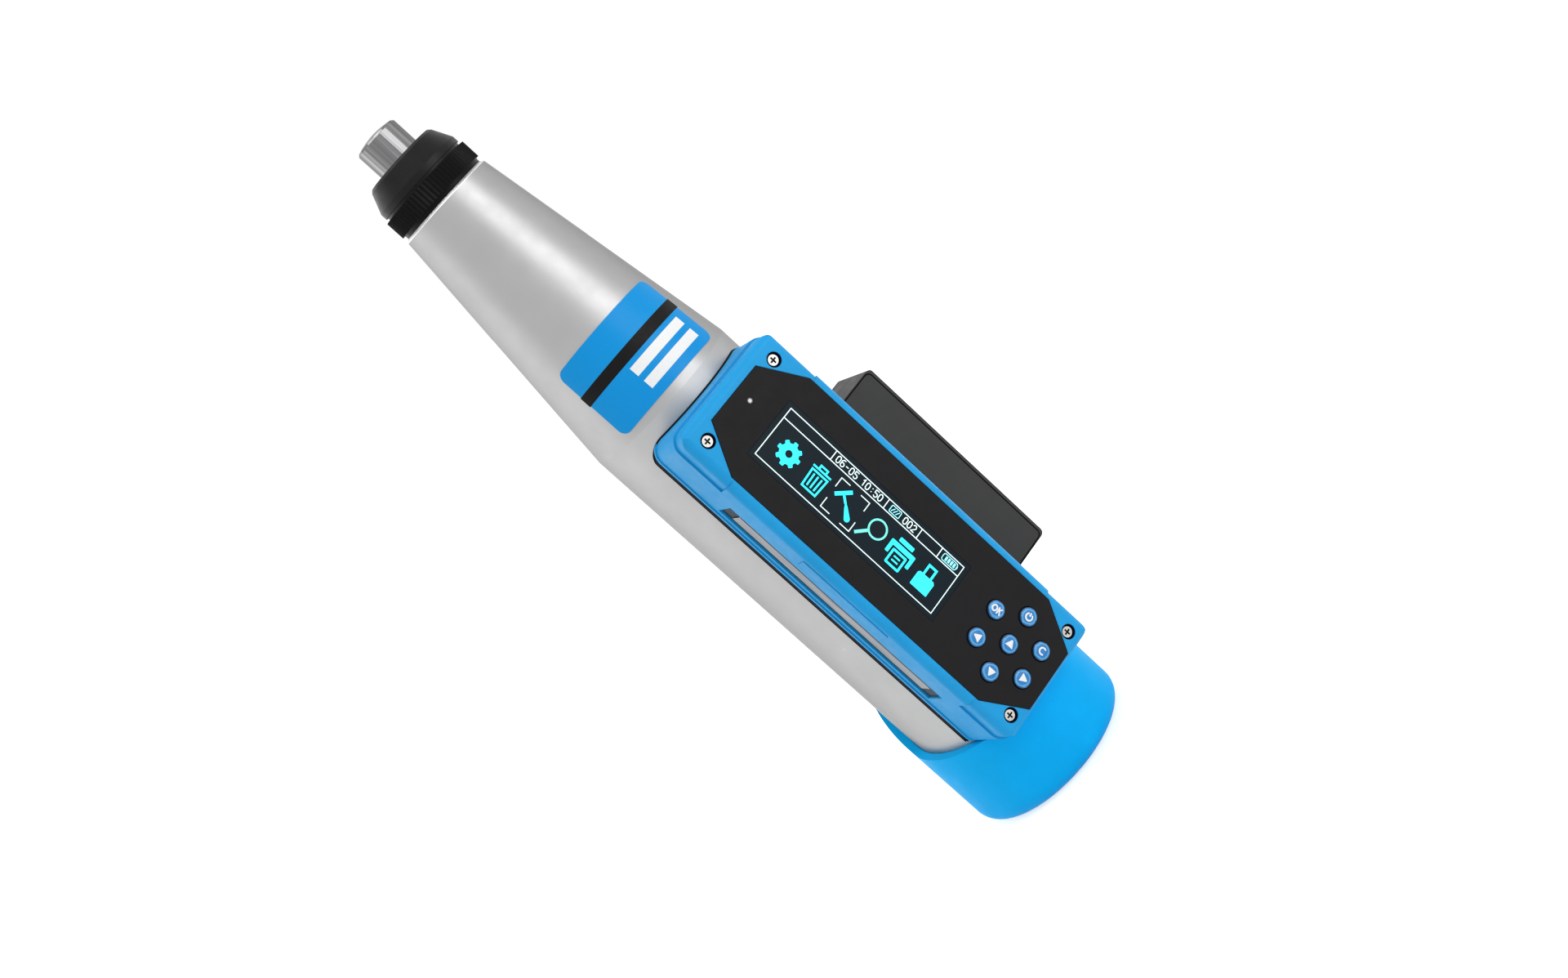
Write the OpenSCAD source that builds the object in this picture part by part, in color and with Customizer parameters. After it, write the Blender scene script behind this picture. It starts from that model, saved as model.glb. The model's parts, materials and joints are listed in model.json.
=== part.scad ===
// Digital rebound hammer for testing concrete, stored with its plunger locked in.
// The tool stands on the flat end of its rubber boot: the boot's end is z = 0, the axis is Z,
// the plunger points up, the display faces -Y and the sensor box is on the +X side.

/* [Body] */
// Outer diameter of the straight tube
tube_d = 54.4; // [52:0.2:58]
// Wall of the tube and of the cone
tube_wall = 2.8; // [2.2:0.1:3.2]
// Length of the straight tube
tube_len = 161.3; // [159:0.1:166]
// Length of the cone
cone_len = 85.4; // [85:0.1:90]
// Diameter of the cone's front face
nose_d = 32.7; // [32.5:0.1:36]
// Bright chamfer round the cone's front face
nose_chamfer = 0.8; // [0.4:0.1:1]
// Length of the threaded spigot in front of the cone
spigot_len = 10; // [8:0.5:10]
// Diameter of the threaded spigot
spigot_d = 25; // [24.5:0.1:26]

/* [Nose] */
// Length of the knurled lock ring with its collar
ring_len = 7.4; // [6:0.1:8]
// Length of the lock ring's plain collar
ring_collar = 1.4; // [0.8:0.1:2]
// Diameter over the knurl
knurl_d = 32.7; // [32:0.1:35]
// Number of knurl ribs
knurl_count = 72; // [40:1:90]
// Depth of the knurl
knurl_depth = 0.45; // [0.2:0.05:0.6]
// Length of the nose cap
cap_len = 9.6; // [9:0.1:12]
// Diameter of the nose cap's skirt
cap_d = 31; // [29:0.1:32]
// Diameter of the nose cap's front face
cap_front_d = 24; // [22:0.1:26]

/* [Mechanism] */
// Diameter of the plunger's striking end
plunger_d = 15; // [14:0.1:16]
// How far the locked plunger stands out of the cap
plunger_out = 10.4; // [8:0.1:14]
// Radius of the plunger's domed end
plunger_dome_r = 25; // [20:1:30]
// Stroke of the plunger and of the hammer mass
stroke = 75; // [70:0.5:76]
// Diameter of the guide bar
bar_d = 8; // [7:0.1:9]
// Length of the hammer mass
mass_len = 70.2; // [68:0.1:72]
// Gap between the hammer mass and the tube's bore, where the rider's arm runs
mass_gap = 7.1; // [7:0.1:8.4]
// Length of the hammer mass's front neck
mass_neck_len = 30; // [28:0.5:34]
// Diameter of the hammer mass's front neck
mass_neck_d = 25.2; // [24:0.1:25.6]
// Gap between the guide disk and the tube's bore
disk_gap = 1.6; // [1.2:0.1:2.4]
// How far the catch at the rear of the hammer mass stays inside the guide disk's rim
catch_inset = 11.8; // [11.3:0.1:12.3]
// Thickness of the guide disk
disk_t = 7; // [6:0.1:8]
// Wire of the impact spring
impact_wire = 2; // [1.6:0.1:2.2]
// Mean diameter of the impact spring
impact_d = 21; // [20:0.1:21.6]
// Turns of the impact spring
impact_turns = 22; // [16:1:24]
// Wire of the return spring
return_wire = 0.9; // [0.7:0.05:1]
// Mean diameter of the return spring
return_d = 32; // [31:0.1:33]
// Turns of the return spring
return_turns = 7; // [5:1:7]
// Swing of the pawl, in degrees
pawl_swing = 12; // [10:0.5:13]

/* [Rear] */
// Thickness of the boot's floor
boot_floor = 3; // [2.5:0.1:3.5]
// Wall of the rubber boot
boot_wall = 2.65; // [2:0.05:3.5]
// Height of the boot's edge on the display side
boot_front = 31.8; // [30.5:0.1:33]
// Height of the boot's tongue on the back
boot_back = 53; // [51:0.5:57]
// Rounding of the boot's end
boot_round = 6; // [4:0.2:7]
// Thickness of the rear cover's flange
cover_flange = 4.6; // [4:0.1:5.5]
// Depth of the rear cover's threaded plug
cover_plug = 5; // [4:0.1:5.6]
// Length of the locked return spring
return_len = 11.5; // [11:0.1:13]
// Height of the lock button's axis
lock_z = 35; // [34.5:0.5:38]
// Diameter of the lock button's head
lock_d = 10; // [9:0.1:11]
// Travel of the lock button
lock_travel = 3; // [2:0.1:3.2]

/* [Display case] */
// Width of the display case
case_w = 44.6; // [43.8:0.1:47]
// Height of the case's rear end
case_z0 = 29.4; // [28:0.1:30]
// Length of the case
case_len = 134.2; // [133:0.1:138]
// Rise of the faceplate's front over the tube
case_rise = 14.8; // [14.8:0.1:18.8]
// Wall of the case
case_wall = 2; // [1.6:0.1:2.2]
// Rounding of the case's upright corners
case_corner = 5; // [3.5:0.1:6]
// Rounding of the case's front edges
case_edge = 2.8; // [2:0.1:3]
// Thickness of the black faceplate
plate_t = 1.3; // [1:0.05:1.6]
// Rim of the case beside the faceplate
plate_side = 3.1; // [2.9:0.1:3.6]
// Rim of the case behind the faceplate
plate_rear = 2.3; // [2:0.1:3]
// Rim of the case in front of the faceplate
plate_front = 4.8; // [4.5:0.1:6]
// Share of the case's length that the display takes
screen_share = 0.519; // [0.48:0.001:0.525]
// Share of the case's length behind the middle of the display
screen_place = 0.5885; // [0.58:0.0005:0.6]
// Share of the case's width that the display takes
screen_width = 0.39; // [0.36:0.001:0.4]
// Diameter of the keys
key_d = 5.8; // [5:0.1:6]
// Sideways step of the key grid, as a share of the case's width
key_step_w = 0.1175; // [0.114:0.0005:0.12]
// Lengthwise step of the key grid, as a share of the case's length
key_step_l = 0.0703; // [0.068:0.0001:0.072]
// Share of the case's length behind the middle key
key_place = 0.1431; // [0.14:0.0001:0.15]
// Travel of a key
key_travel = 0.8; // [0.5:0.05:0.9]
// Distance of the case screws from the case's sides
screw_side = 6.4; // [6.2:0.1:6.8]
// Distance of the case screws from the case's rear end
screw_rear = 6.1; // [5.6:0.1:6.6]
// Distance of the case screws from the case's front end
screw_front = 7.8; // [7.2:0.1:8.2]
// Depth of the pads round the case's corner screws
pad_depth = 0.6; // [0.3:0.1:0.8]

/* [Sensor box] */
// Width of the sensor box, along Y
box_w = 25; // [24:0.1:28]
// Rise of the sensor box over the tube, on its display side
box_rise = 21.1; // [20.8:0.1:24.8]
// How much further the box reaches on its back side
box_lean = 2.2; // [0:0.1:3]
// Length of the sensor box
box_len = 77; // [76:0.1:80]
// Height of the sensor box's rear end
box_z0 = 49.6; // [49:0.1:52]
// Wall of the sensor box
box_wall = 2; // [1.6:0.1:2.2]
// Diameter of the rider's rail
rail_d = 3; // [2.5:0.1:3.5]
// Travel of the rider
rider_travel = 57; // [50:0.5:57]

/* [Label] */
// Width of the label, laid flat
label_w = 44.7; // [40:0.1:46]
// Height of the label, laid flat
label_h = 26.5; // [24:0.1:28]
// Thickness of the label
label_t = 0.3; // [0.2:0.01:0.35]
// Turn of the label from the display side, in degrees
label_turn = 8.4; // [0:0.1:15]

/* [Clearances] */
// Running clearance round a shaft
run = 0.05; // [0.03:0.01:0.08]
// Clearance of pieces that sit still in each other
seat = 0.1; // [0.05:0.01:0.15]
// Clearance of pieces that move past each other
pass = 0.3; // [0.3:0.05:0.4]

/* [Hidden] */
$fn = 64;

// Colours, as the photograph shows them
blue = [0.12, 0.62, 0.92];
label_blue = [0.02, 0.50, 0.86];
silver = [0.72, 0.72, 0.69];
steel = [0.62, 0.63, 0.65];
spring_steel = [0.45, 0.46, 0.48];
black = [0.09, 0.09, 0.09];
soot = [0.20, 0.20, 0.20];
board_green = [0.05, 0.32, 0.18];
felt_grey = [0.55, 0.53, 0.50];

// Body heights, from the boot's end upwards
eps = 0.01;
tube_r = tube_d / 2;
bore_r = tube_r - tube_wall;
face_y = tube_r + case_rise;
box_reach = tube_r + box_rise;
cover_z = boot_floor + 2 * seat;
tube_z0 = cover_z + cover_flange;
cone_z0 = tube_z0 + tube_len;
cone_z1 = cone_z0 + cone_len;
nose_r = nose_d / 2;
ring_z1 = cone_z1 + ring_len;
cap_z1 = ring_z1 + cap_len;
tip_z = cap_z1 + plunger_out;
front_wall = 1.4;
front_wall_z = cone_z1 - front_wall;

// Nose pieces
spigot_r = spigot_d / 2;
sleeve_r = spigot_r - 1.45;
cap_r = cap_d / 2;
cap_groove = 1;
cap_groove_depth = 0.6;
cap_flat = 2;
cap_chamfer = 0.8;
cap_lip = 2.4;
felt_t = 1.7;
felt_wall = 2.3;
half_ring_t = 2.3;
half_ring_wall = 3;

// Plunger and guide bar
plunger_r = plunger_d / 2;
shank_r = plunger_r - 0.5;
shank_bore = shank_r + run;
plunger_chamfer = 0.6;
head_z0 = cap_z1 + 2 * seat;
bar_r = bar_d / 2;
buffer_len = 9;
bar_grip = 22;

// Disk, mass and plunger follow each other along the axis
plug_z1 = tube_z0 + cover_plug;
disk_z0 = plug_z1 + return_len + seat;
disk_z1 = disk_z0 + disk_t;
disk_r = bore_r - disk_gap;
mass_z0 = disk_z1 + 4 * seat + stroke;
mass_z1 = mass_z0 + mass_len;
plunger_z0 = mass_z1 + 2 * seat;
mass_r = bore_r - mass_gap;
mass_neck_r = mass_neck_d / 2;
catch_r = disk_r - catch_inset;
catch_t = 3.5;
catch_neck = 5.5;
catch_neck_r = catch_r - 2.2;

// Pawl, in a slot of the guide disk on the -X side
pawl_t = 3;
pawl_x = catch_r + 2;
pawl_z = (disk_z0 + disk_z1) / 2;
pawl_eye_r = 2.6;
pawl_arm = 2.8;
pawl_pin_r = 1.2;
pawl_pin_len = 12;
pawl_tail = pawl_x - bar_r - 3.5;
pawl_slot_in = bar_r + 1.8;
pawl_slot_out = pawl_x + pawl_eye_r + 2;
nose_low = disk_z1 + 4 * seat + catch_t + 4 * seat - pawl_z;
pawl_nose_h = 3;
pawl_nose_w = pawl_x - pawl_arm / 2 - catch_neck_r - 2 * pass;
post_t = 2;
post_w = 4;
post_h = 5.5;
post_x = disk_r - 1.2;
pawl_spring_wire = 0.5;
pawl_spring_d = 2.6;
pawl_spring_z = disk_z1 + 3;
pawl_spring_turns = 2.5;
pawl_side_x = pawl_x + pawl_arm / 2 * cos(pawl_swing) + (pawl_spring_z - pawl_z) * sin(pawl_swing);

// Trip screw, in line with the pawl's tail
trip_x = pawl_x - pawl_tail + 0.5;
trip_r = 2.5;
trip_dog_r = 1.4;
trip_head_z = cover_z + 0.8;
trip_slot = 1;
nut_t = 3;
nut_flats = 8;
spanner_r = 2;
spanner_x = 14;

// Springs
spring_rings = 8;
spring_sides = 6;
buffer_wire = 0.9;
buffer_d = bar_d - 2.2;
buffer_turns = 5;

// Boot
boot_bore = tube_r + seat;
boot_r = boot_bore + boot_wall;
boot_tilt = 8;
boot_tilt_y = -10;
tongue_y = 6.8;
tongue_rise = 49;
tongue_fillet = 6;
tongue_round = 8;

// Lock button, on the back of the tube
lock_r = lock_d / 2;
lock_pin_r = 2;
lock_bush_r = 4;
lock_bush_head_r = lock_r + 0.6;
lock_bush_top = tube_r + 1.8;
lock_pocket_r = lock_pin_r + 1.3;
lock_pocket_floor = bore_r + 1.2;
lock_head_t = 2;
lock_tip = disk_r + 0.5;
lock_wire = 0.5;
lock_turns = 2.5;

// Sensor box, rail and rider on the +X side
box_y0 = -box_w / 2 - 0.5;
box_y1 = box_y0 + box_w;
box_z1 = box_z0 + box_len;
base_top = tube_r + 3;
box_round = 2.2;
box_turn = atan(box_lean / box_w);
box_face = box_reach * cos(box_turn) - box_y0 * sin(box_turn);
post_len = 3;
post_half = 4.5;
post_z0 = box_z0 + box_wall;
post_z1 = box_z1 - box_wall - post_len;
post_top = box_reach - box_wall - 4 * seat;
rail_r = rail_d / 2;
rail_x = base_top + 4.3;
rider_len = 7;
rider_half = 5;
rider_z0 = post_z1 - 2 * seat - rider_len - 2;
rider_x0 = base_top + 1;
rider_x1 = rail_x + 5.1;
stem_half = 2;
stem_len = 5.6;
arm_x0 = mass_r + 2 * pass;
arm_x1 = arm_x0 + 4;
arm_z0 = mass_z0 - pass - 6;
slot_half = stem_half + 1.2;
slot_z0 = rider_z0 - rider_travel - 1;
slot_z1 = rider_z0 + stem_len + 1.5;
notch_half = stem_half + 1;
sensor_t = 1.6;
sensor_x = rider_x1 + pass;
cover_screw_r = 1.25;
cover_head_r = 2.3;
cover_head_t = 1.4;
cover_screw_len = 9;
cover_recess = 1.6;

// Display case
case_r = case_w / 2;
case_z1 = case_z0 + case_len;
case_top = face_y - 0.15;
gasket_t = 0.6;
gasket_r = tube_r + gasket_t;
case_foot = sqrt(gasket_r * gasket_r - case_r * case_r) - 4.4;
screw_recess_r = 2.35;
plate_w = case_w - 2 * plate_side;
plate_z0 = case_z0 + plate_rear;
plate_len = case_len - plate_rear - plate_front;
plate_cut = screw_rear + screw_recess_r + 6.25;
plate_cut_w = screw_side - plate_side + screw_recess_r + 2.95;
plate_seat = face_y - plate_t;
screen_w = case_w * screen_width;
screen_len = case_len * screen_share;
screen_z = case_z0 + case_len * screen_place;
case_roof = plate_seat - 1.4;
screw_x = case_w - 2 * screw_side;
screw_z0 = case_z0 + screw_rear;
screw_len = case_len - screw_rear - screw_front;
screw_r = 1.1;
screw_head_r = 1.65;
screw_slot = 1.1;
screw_head_t = 1.5;
screw_recess = 0.7;
screw_reach = 11;
screw_tip = face_y - screw_reach;
field_out = 0.25;
field_z0 = case_z0 + case_len * 0.3675;
field_z1 = case_z1 - case_len * 0.383;
field_low = face_y - 8.4;
field_high = face_y - 3.4;
field_slant = 0.4;
rib_low = face_y - 23.1;
rib_high = rib_low + 1.2;
rib_out = 0.4;
rib_z0 = case_z0 + 3;
pad_low = face_y - 6.8;
pad_z0 = case_z0 + case_len * 0.135;
pad_z1 = case_z1 - case_len * 0.153;
pad_slant = 0.4;
groove_low = face_y - 19.9;
groove_high = face_y - 11.7;
groove_depth = 0.7;
groove_z0 = case_z0 + case_len * 0.1654;
groove_z1 = case_z1 - case_len * 0.1997;
groove_slant = -0.6;
strip_low = groove_low + 2.1;
strip_high = groove_high - 0.8;
strip_end = 4.2;

// Inside the case, from the tube outwards
base_y = tube_r + 2.4;
base_half = case_r - case_wall - 4 * seat;
base_end = case_wall + 4 * seat;
base_foot = sqrt(tube_r * tube_r - base_half * base_half) - 0.35;
stud_r = 3.1;
pillar_r = 1.6;
pillar_x = base_half - 2.4;
pillar_z = [case_z0 + case_len * 0.224, case_z1 - case_len * 0.224];
battery_t = 4.6;
battery_half = case_w * 0.325;
battery_z0 = case_z0 + case_len * 0.3;
battery_len = case_len * 0.37;
board_y = base_y + battery_t + 3 * seat + 0.4;
board_t = 1.6;
board_half = base_half - 1;
board_z0 = screw_z0 + stud_r + 1.6;
board_z1 = screw_z0 + screw_len - stud_r - 1.6;
board_tongue = 9;
board_reach = 5.6;
lens_margin = 1.7;
lens_w = screen_w + 2 * lens_margin;
lens_len = screen_len + 2 * lens_margin;
lens_x = -0.5;
lens_t = plate_t - 0.1;
oled_half = lens_w / 2 + 2.4;
oled_len = lens_len + 8;
oled_board_t = 1.4;
oled_y = board_y + board_t + 2 * seat;
oled_face = plate_seat - seat;
base_screw_r = 1.5;
base_head_r = 2.8;
base_head_t = 1.6;
base_screw_z = [case_z0 + case_len * 0.246, case_z1 - case_len * 0.275];

// Keys
key_step_x = case_w * key_step_w;
key_step_z = case_len * key_step_l;
key_z = case_z0 + case_len * key_place;
key_r = key_d / 2;
key_hole_r = key_r + pass;
key_flange_r = key_r + 0.8;
key_flange_t = 0.6;
key_top = face_y + 0.9;
key_dome_r = 9;
key_flange_y = case_roof - 2 * seat;
mat_t = key_flange_y - key_flange_t - key_travel - 2 * seat - board_y - board_t;
mat_margin = 5.2;
KEYS = [[2, 0], [1, 1], [1, -1], [0, 0], [-1, 1], [-1, -1], [-2, 0]];
led_x = 1.5;
led_z = plate_z0 + plate_len - 5;
led_r = 0.9;

// Label
cone_slope = (tube_r - nose_r) / cone_len;
label_up = 16.25;
label_mid = cone_z0 + label_up;
label_r = tube_r - label_up * cone_slope;
label_round = 2.8;

// Helpers

// Runs an outline of X and Z coordinates between two distances along -Y
module along_y(near, far) {
    translate([0, -near, 0]) rotate([90, 0, 0]) linear_extrude(far - near) children();
}

// Runs an outline of Y and Z coordinates between two places along X
module along_x(from, to) {
    translate([from, 0, 0]) rotate([90, 0, 90]) linear_extrude(to - from) children();
}

// A rectangle from one corner to the other
module span(low, high) {
    translate(low) square(high - low);
}

// A rectangle with round corners, from one corner to the other
module round_span(low, high, r) {
    for (x = [low[0] + r, high[0] - r])
        for (y = [low[1] + r, high[1] - r])
            translate([x, y]) circle(r);
    span([low[0] + r, low[1]], [high[0] - r, high[1]]);
    span([low[0], low[1] + r], [high[0], high[1] - r]);
}

// The points of an arc that rounds a corner between two directions, to the right for a negative radius
function bend(corner, from, to, r) =
    let (start = corner - r * tan((to - from) / 2) * [cos(from), sin(from)])
    let (mid = start + r * [-sin(from), cos(from)])
    [for (i = [0 : 6]) let (a = from + (to - from) * i / 6) mid + r * [sin(a), -cos(a)]];

// A round bar along Z between two heights
module rod(r, z0, z1) {
    translate([0, 0, z0]) cylinder(r = r, h = z1 - z0);
}

// A washer along Z between two heights
module ring(r_in, r_out, z0, z1) {
    difference() {
        rod(r_out, z0, z1);
        rod(r_in, z0 - 1, z1 + 1);
    }
}

// The middle of a coil's wire at step i
function coil_mid(d, turns, rise, i) =
    let (a = 360 * i / spring_rings)
    [d / 2 * cos(a), d / 2 * sin(a), rise * i / (turns * spring_rings)];

// The points of a coil's tube, ring by ring
function coil_points(d, wire, turns, rise) = [
    for (i = [0 : turns * spring_rings])
        for (j = [0 : spring_sides - 1])
            let (a = 360 * i / spring_rings, b = 360 * j / spring_sides, out = wire / 2 * cos(b))
            coil_mid(d, turns, rise, i) + [out * cos(a), out * sin(a), wire / 2 * sin(b)]];

// The triangles of a coil's tube, with its two ends closed
function coil_faces(turns) =
    let (s = spring_sides, last = turns * spring_rings)
    concat(
        [for (i = [0 : last - 1]) for (j = [0 : s - 1])
            [i * s + j, i * s + (j + 1) % s, (i + 1) * s + (j + 1) % s]],
        [for (i = [0 : last - 1]) for (j = [0 : s - 1])
            [i * s + j, (i + 1) * s + (j + 1) % s, (i + 1) * s + j]],
        [for (j = [1 : s - 2]) [0, j + 1, j]],
        [for (j = [1 : s - 2]) [last * s, last * s + j, last * s + j + 1]]);

// The least gap between one turn of a coil and the others
function coil_gap(d, wire, turns, rise) =
    let (last = turns * spring_rings)
    min([for (i = [0 : last]) for (k = [i + spring_rings - 2 : 1 : last])
        norm(coil_mid(d, turns, rise, i) - coil_mid(d, turns, rise, k))]) - wire;

// A coil spring of one unbroken wire, standing on z = 0
module coil(name, d, wire, turns, len) {
    rise = len - wire;
    echo(str(name, " least gap ", coil_gap(d, wire, turns, rise), " mm"));
    translate([0, 0, wire / 2])
        polyhedron(coil_points(d, wire, turns, rise), coil_faces(turns), convexity = 10);
}

// Body

module housing() color(silver) difference() {
    rotate_extrude() polygon([[0, tube_z0], [tube_r, tube_z0], [tube_r, cone_z0],
        [nose_r + nose_chamfer * cone_slope, cone_z1 - nose_chamfer], [nose_r - nose_chamfer, cone_z1],
        [spigot_r, cone_z1], [spigot_r, cone_z1 + spigot_len], [0, cone_z1 + spigot_len]]);
    rotate_extrude() polygon([[0, tube_z0 - 1], [bore_r, tube_z0 - 1], [bore_r, cone_z0],
        [nose_r - tube_wall + front_wall * cone_slope, front_wall_z], [0, front_wall_z]]);
    rod(sleeve_r + seat, front_wall_z - 1, cone_z1 + spigot_len + 1);
    along_x(0, tube_r + 1) round_span([-slot_half, slot_z0], [slot_half, slot_z1], slot_half - eps);
    translate([0, 0, lock_z]) rotate([-90, 0, 0]) cylinder(r = lock_bush_r + seat, h = tube_r + 1);
    for (z = base_screw_z)
        translate([0, 0, z]) rotate([90, 0, 0]) cylinder(r = base_screw_r + seat, h = tube_r + 1);
}

module label() color(label_blue) intersection() {
    difference() {
        rotate_extrude() polygon(label_band(label_t + run));
        rotate_extrude() polygon(label_band(run));
    }
    rotate([0, 0, -label_turn]) along_y(0, tube_d) polygon([for (p = label_flat()) wrapped(p)]);
}

// The label's outline laid flat, an oblong with round corners
function label_flat() =
    let (x = label_w / 2 - label_round, y = label_h / 2 - label_round)
    [for (c = [[x, y, 0], [-x, y, 90], [-x, -y, 180], [x, -y, 270]])
        for (i = [0 : c[2] % 180 == 0 ? 14 : 6])
            let (a = c[2] + min(i, 6) * 15, along = max(i - 6, 0) / 9)
            [c[0], c[1]] + label_round * [cos(a), sin(a)] - 2 * x * along * [cos(c[2]), 0]];

// A place of the flat label, wrapped on the cone and seen from the display side
function wrapped(p) =
    let (lean = sin(atan(cone_slope)))
    let (far = norm([p[0], label_r / lean - p[1]]), turn = atan2(p[0], label_r / lean - p[1]) / lean)
    [far * lean * sin(turn), label_mid + (label_r - far * lean) / cone_slope];

// The cone as a full profile, grown outwards, over the label's height
function label_band(grow) = [for (p = [[0, -1], [1, -1], [1, 1], [0, 1]])
    let (z = label_mid + p[1] * (label_h / 2 + 2))
    [p[0] * (tube_r - (z - cone_z0) * cone_slope + grow), z]];

// Nose

module lock_ring() color(black) difference() {
    union() {
        rod(knurl_d / 2 - knurl_depth - 0.5, cone_z1, ring_z1);
        translate([0, 0, cone_z1 + ring_collar]) linear_extrude(ring_len - ring_collar)
            polygon([for (i = [0 : 2 * knurl_count - 1])
                let (a = 180 * i / knurl_count, r = knurl_d / 2 - (i % 2) * knurl_depth)
                [r * cos(a), r * sin(a)]]);
    }
    rod(spigot_r + seat, cone_z1 - 1, ring_z1 + 1);
}

module nose_cap() color(black) rotate_extrude() polygon(nose_cap_profile());

// Half section of the nose cap: skirt, taper and front face, then the pockets inside it
function nose_cap_profile() =
    let (spigot_z = cone_z1 + spigot_len + seat)
    let (ring_top = spigot_z + half_ring_t + 2 * seat)
    let (felt_top = cap_z1 - cap_lip)
    [[spigot_r + seat, ring_z1], [cap_r - cap_groove_depth, ring_z1],
        [cap_r - cap_groove_depth, ring_z1 + cap_groove], [cap_r, ring_z1 + cap_groove],
        [cap_r, ring_z1 + cap_groove + cap_flat], [cap_front_d / 2 + cap_chamfer, cap_z1 - cap_chamfer],
        [cap_front_d / 2, cap_z1], [shank_bore, cap_z1], [shank_bore, felt_top],
        [shank_bore + felt_wall + seat, felt_top], [shank_bore + felt_wall + seat, ring_top],
        [shank_bore + half_ring_wall + seat, ring_top], [shank_bore + half_ring_wall + seat, spigot_z],
        [spigot_r + seat, spigot_z]];

module two_part_ring() color(steel) difference() {
    z0 = cone_z1 + spigot_len + 2 * seat;
    ring(shank_bore, shank_bore + half_ring_wall, z0, z0 + half_ring_t);
    translate([-spigot_d, -seat, z0 - 1]) cube([2 * spigot_d, 2 * seat, half_ring_t + 2]);
}

module felt_washer() color(felt_grey)
    ring(shank_bore, shank_bore + felt_wall, cap_z1 - cap_lip - seat - felt_t, cap_z1 - cap_lip - seat);

module guide_sleeve() color(steel)
    ring(shank_bore, sleeve_r, front_wall_z, cone_z1 + spigot_len);

// Plunger, bar and disk, which move as one

module plunger() color(steel) difference() {
    union() {
        rod(shank_r, plunger_z0, head_z0);
        intersection() {
            rotate_extrude() polygon([[0, head_z0], [plunger_r, head_z0],
                [plunger_r, tip_z - 1 - plunger_chamfer], [plunger_r - plunger_chamfer - 1, tip_z],
                [0, tip_z]]);
            translate([0, 0, tip_z - plunger_dome_r]) sphere(r = plunger_dome_r, $fn = 128);
        }
    }
    rod(bar_r + run, plunger_z0 - 1, plunger_z0 + bar_grip + buffer_len);
}

module retaining_spring() color(spring_steel) translate([0, 0, plunger_z0 + bar_grip + seat])
    coil("retaining spring", buffer_d, buffer_wire, buffer_turns, buffer_len - 2 * seat);

module guide_bar() color(steel) rod(bar_r, disk_z0, plunger_z0 + bar_grip);

module guide_disk() color(steel) difference() {
    union() {
        rod(disk_r, disk_z0, disk_z1);
        translate([-post_x, -post_w / 2, disk_z1 - eps]) cube([post_t, post_w, post_h]);
    }
    rod(bar_r + seat / 4, disk_z0 - 1, disk_z1 + 1);
    translate([-pawl_slot_out, -pawl_t / 2 - pass, disk_z0 - 1])
        cube([pawl_slot_out - pawl_slot_in, pawl_t + 2 * pass, disk_t + 2]);
    translate([arm_x0 - pass, -notch_half, disk_z0 - 1]) cube([disk_r, 2 * notch_half, disk_t + 2]);
    translate([-pawl_x, pawl_pin_len / 2 + seat, pawl_z])
        rotate([90, 0, 0]) cylinder(r = pawl_pin_r + seat / 4, h = 2 * disk_r);
}

module pawl_pin() color(steel) translate([-pawl_x, pawl_pin_len / 2, pawl_z])
    rotate([90, 0, 0]) cylinder(r = pawl_pin_r, h = pawl_pin_len);

// The pawl hooks behind the catch when it stands upright, and rests swung out of the way
module pawl() color(steel) translate([-pawl_x, 0, pawl_z]) rotate([0, -pawl_swing, 0])
    along_y(-pawl_t / 2, pawl_t / 2) difference() {
        union() {
            circle(pawl_eye_r);
            span([-pawl_arm / 2, 0], [pawl_arm / 2, nose_low + pawl_nose_h + 0.8]);
            span([0, nose_low], [pawl_arm / 2 + pawl_nose_w, nose_low + pawl_nose_h]);
            span([0, -pawl_eye_r - 0.5], [pawl_tail, -0.7]);
        }
        circle(pawl_pin_r + run);
    }

module pawl_spring() color(spring_steel)
    translate([-post_x + post_t + 2 * seat, 0, pawl_spring_z]) rotate([0, 90, 0])
        coil("pawl spring", pawl_spring_d, pawl_spring_wire, pawl_spring_turns,
            post_x - post_t - pawl_side_x - 5 * seat);

// Hammer mass and its spring

module hammer_mass() color(steel) difference() {
    rotate_extrude() polygon([[0, mass_z0], [catch_r, mass_z0], [catch_r, mass_z0 + catch_t],
        [catch_neck_r, mass_z0 + catch_t], [catch_neck_r, mass_z0 + catch_t + catch_neck],
        [mass_r, mass_z0 + catch_t + catch_neck], [mass_r, mass_z1 - mass_neck_len],
        [mass_neck_r, mass_z1 - mass_neck_len], [mass_neck_r, mass_z1], [0, mass_z1]]);
    rod(bar_r + run, mass_z0 - 1, mass_z1 + 1);
}

module impact_spring() color(spring_steel) translate([0, 0, mass_z1 + pass])
    coil("impact spring", impact_d, impact_wire, impact_turns, front_wall_z - seat - mass_z1 - pass);

module return_spring() color(spring_steel) translate([0, 0, plug_z1 + seat])
    coil("return spring", return_d, return_wire, return_turns, return_len - seat);

// Rear end

module rear_cover() color(steel) difference() {
    union() {
        rod(tube_r - pass, cover_z, tube_z0);
        rod(bore_r - seat, tube_z0 - eps, plug_z1);
    }
    translate([-trip_x, 0, 0]) rod(trip_r + run, cover_z - 1, plug_z1 + 1);
    for (a = [45, 225])
        rotate([0, 0, a]) translate([spanner_x, 0, 0]) rod(spanner_r, cover_z - 1, cover_z + cover_flange / 2);
}

module trip_screw() color(steel) translate([-trip_x, 0, 0]) difference() {
    union() {
        rod(trip_r, trip_head_z, disk_z0 - 1.2);
        rod(trip_dog_r, disk_z0 - 1.3, disk_z0);
    }
    translate([-trip_r - 1, -trip_slot / 2, trip_head_z - 1]) cube([2 * trip_r + 2, trip_slot, 1 + trip_slot]);
}

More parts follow.
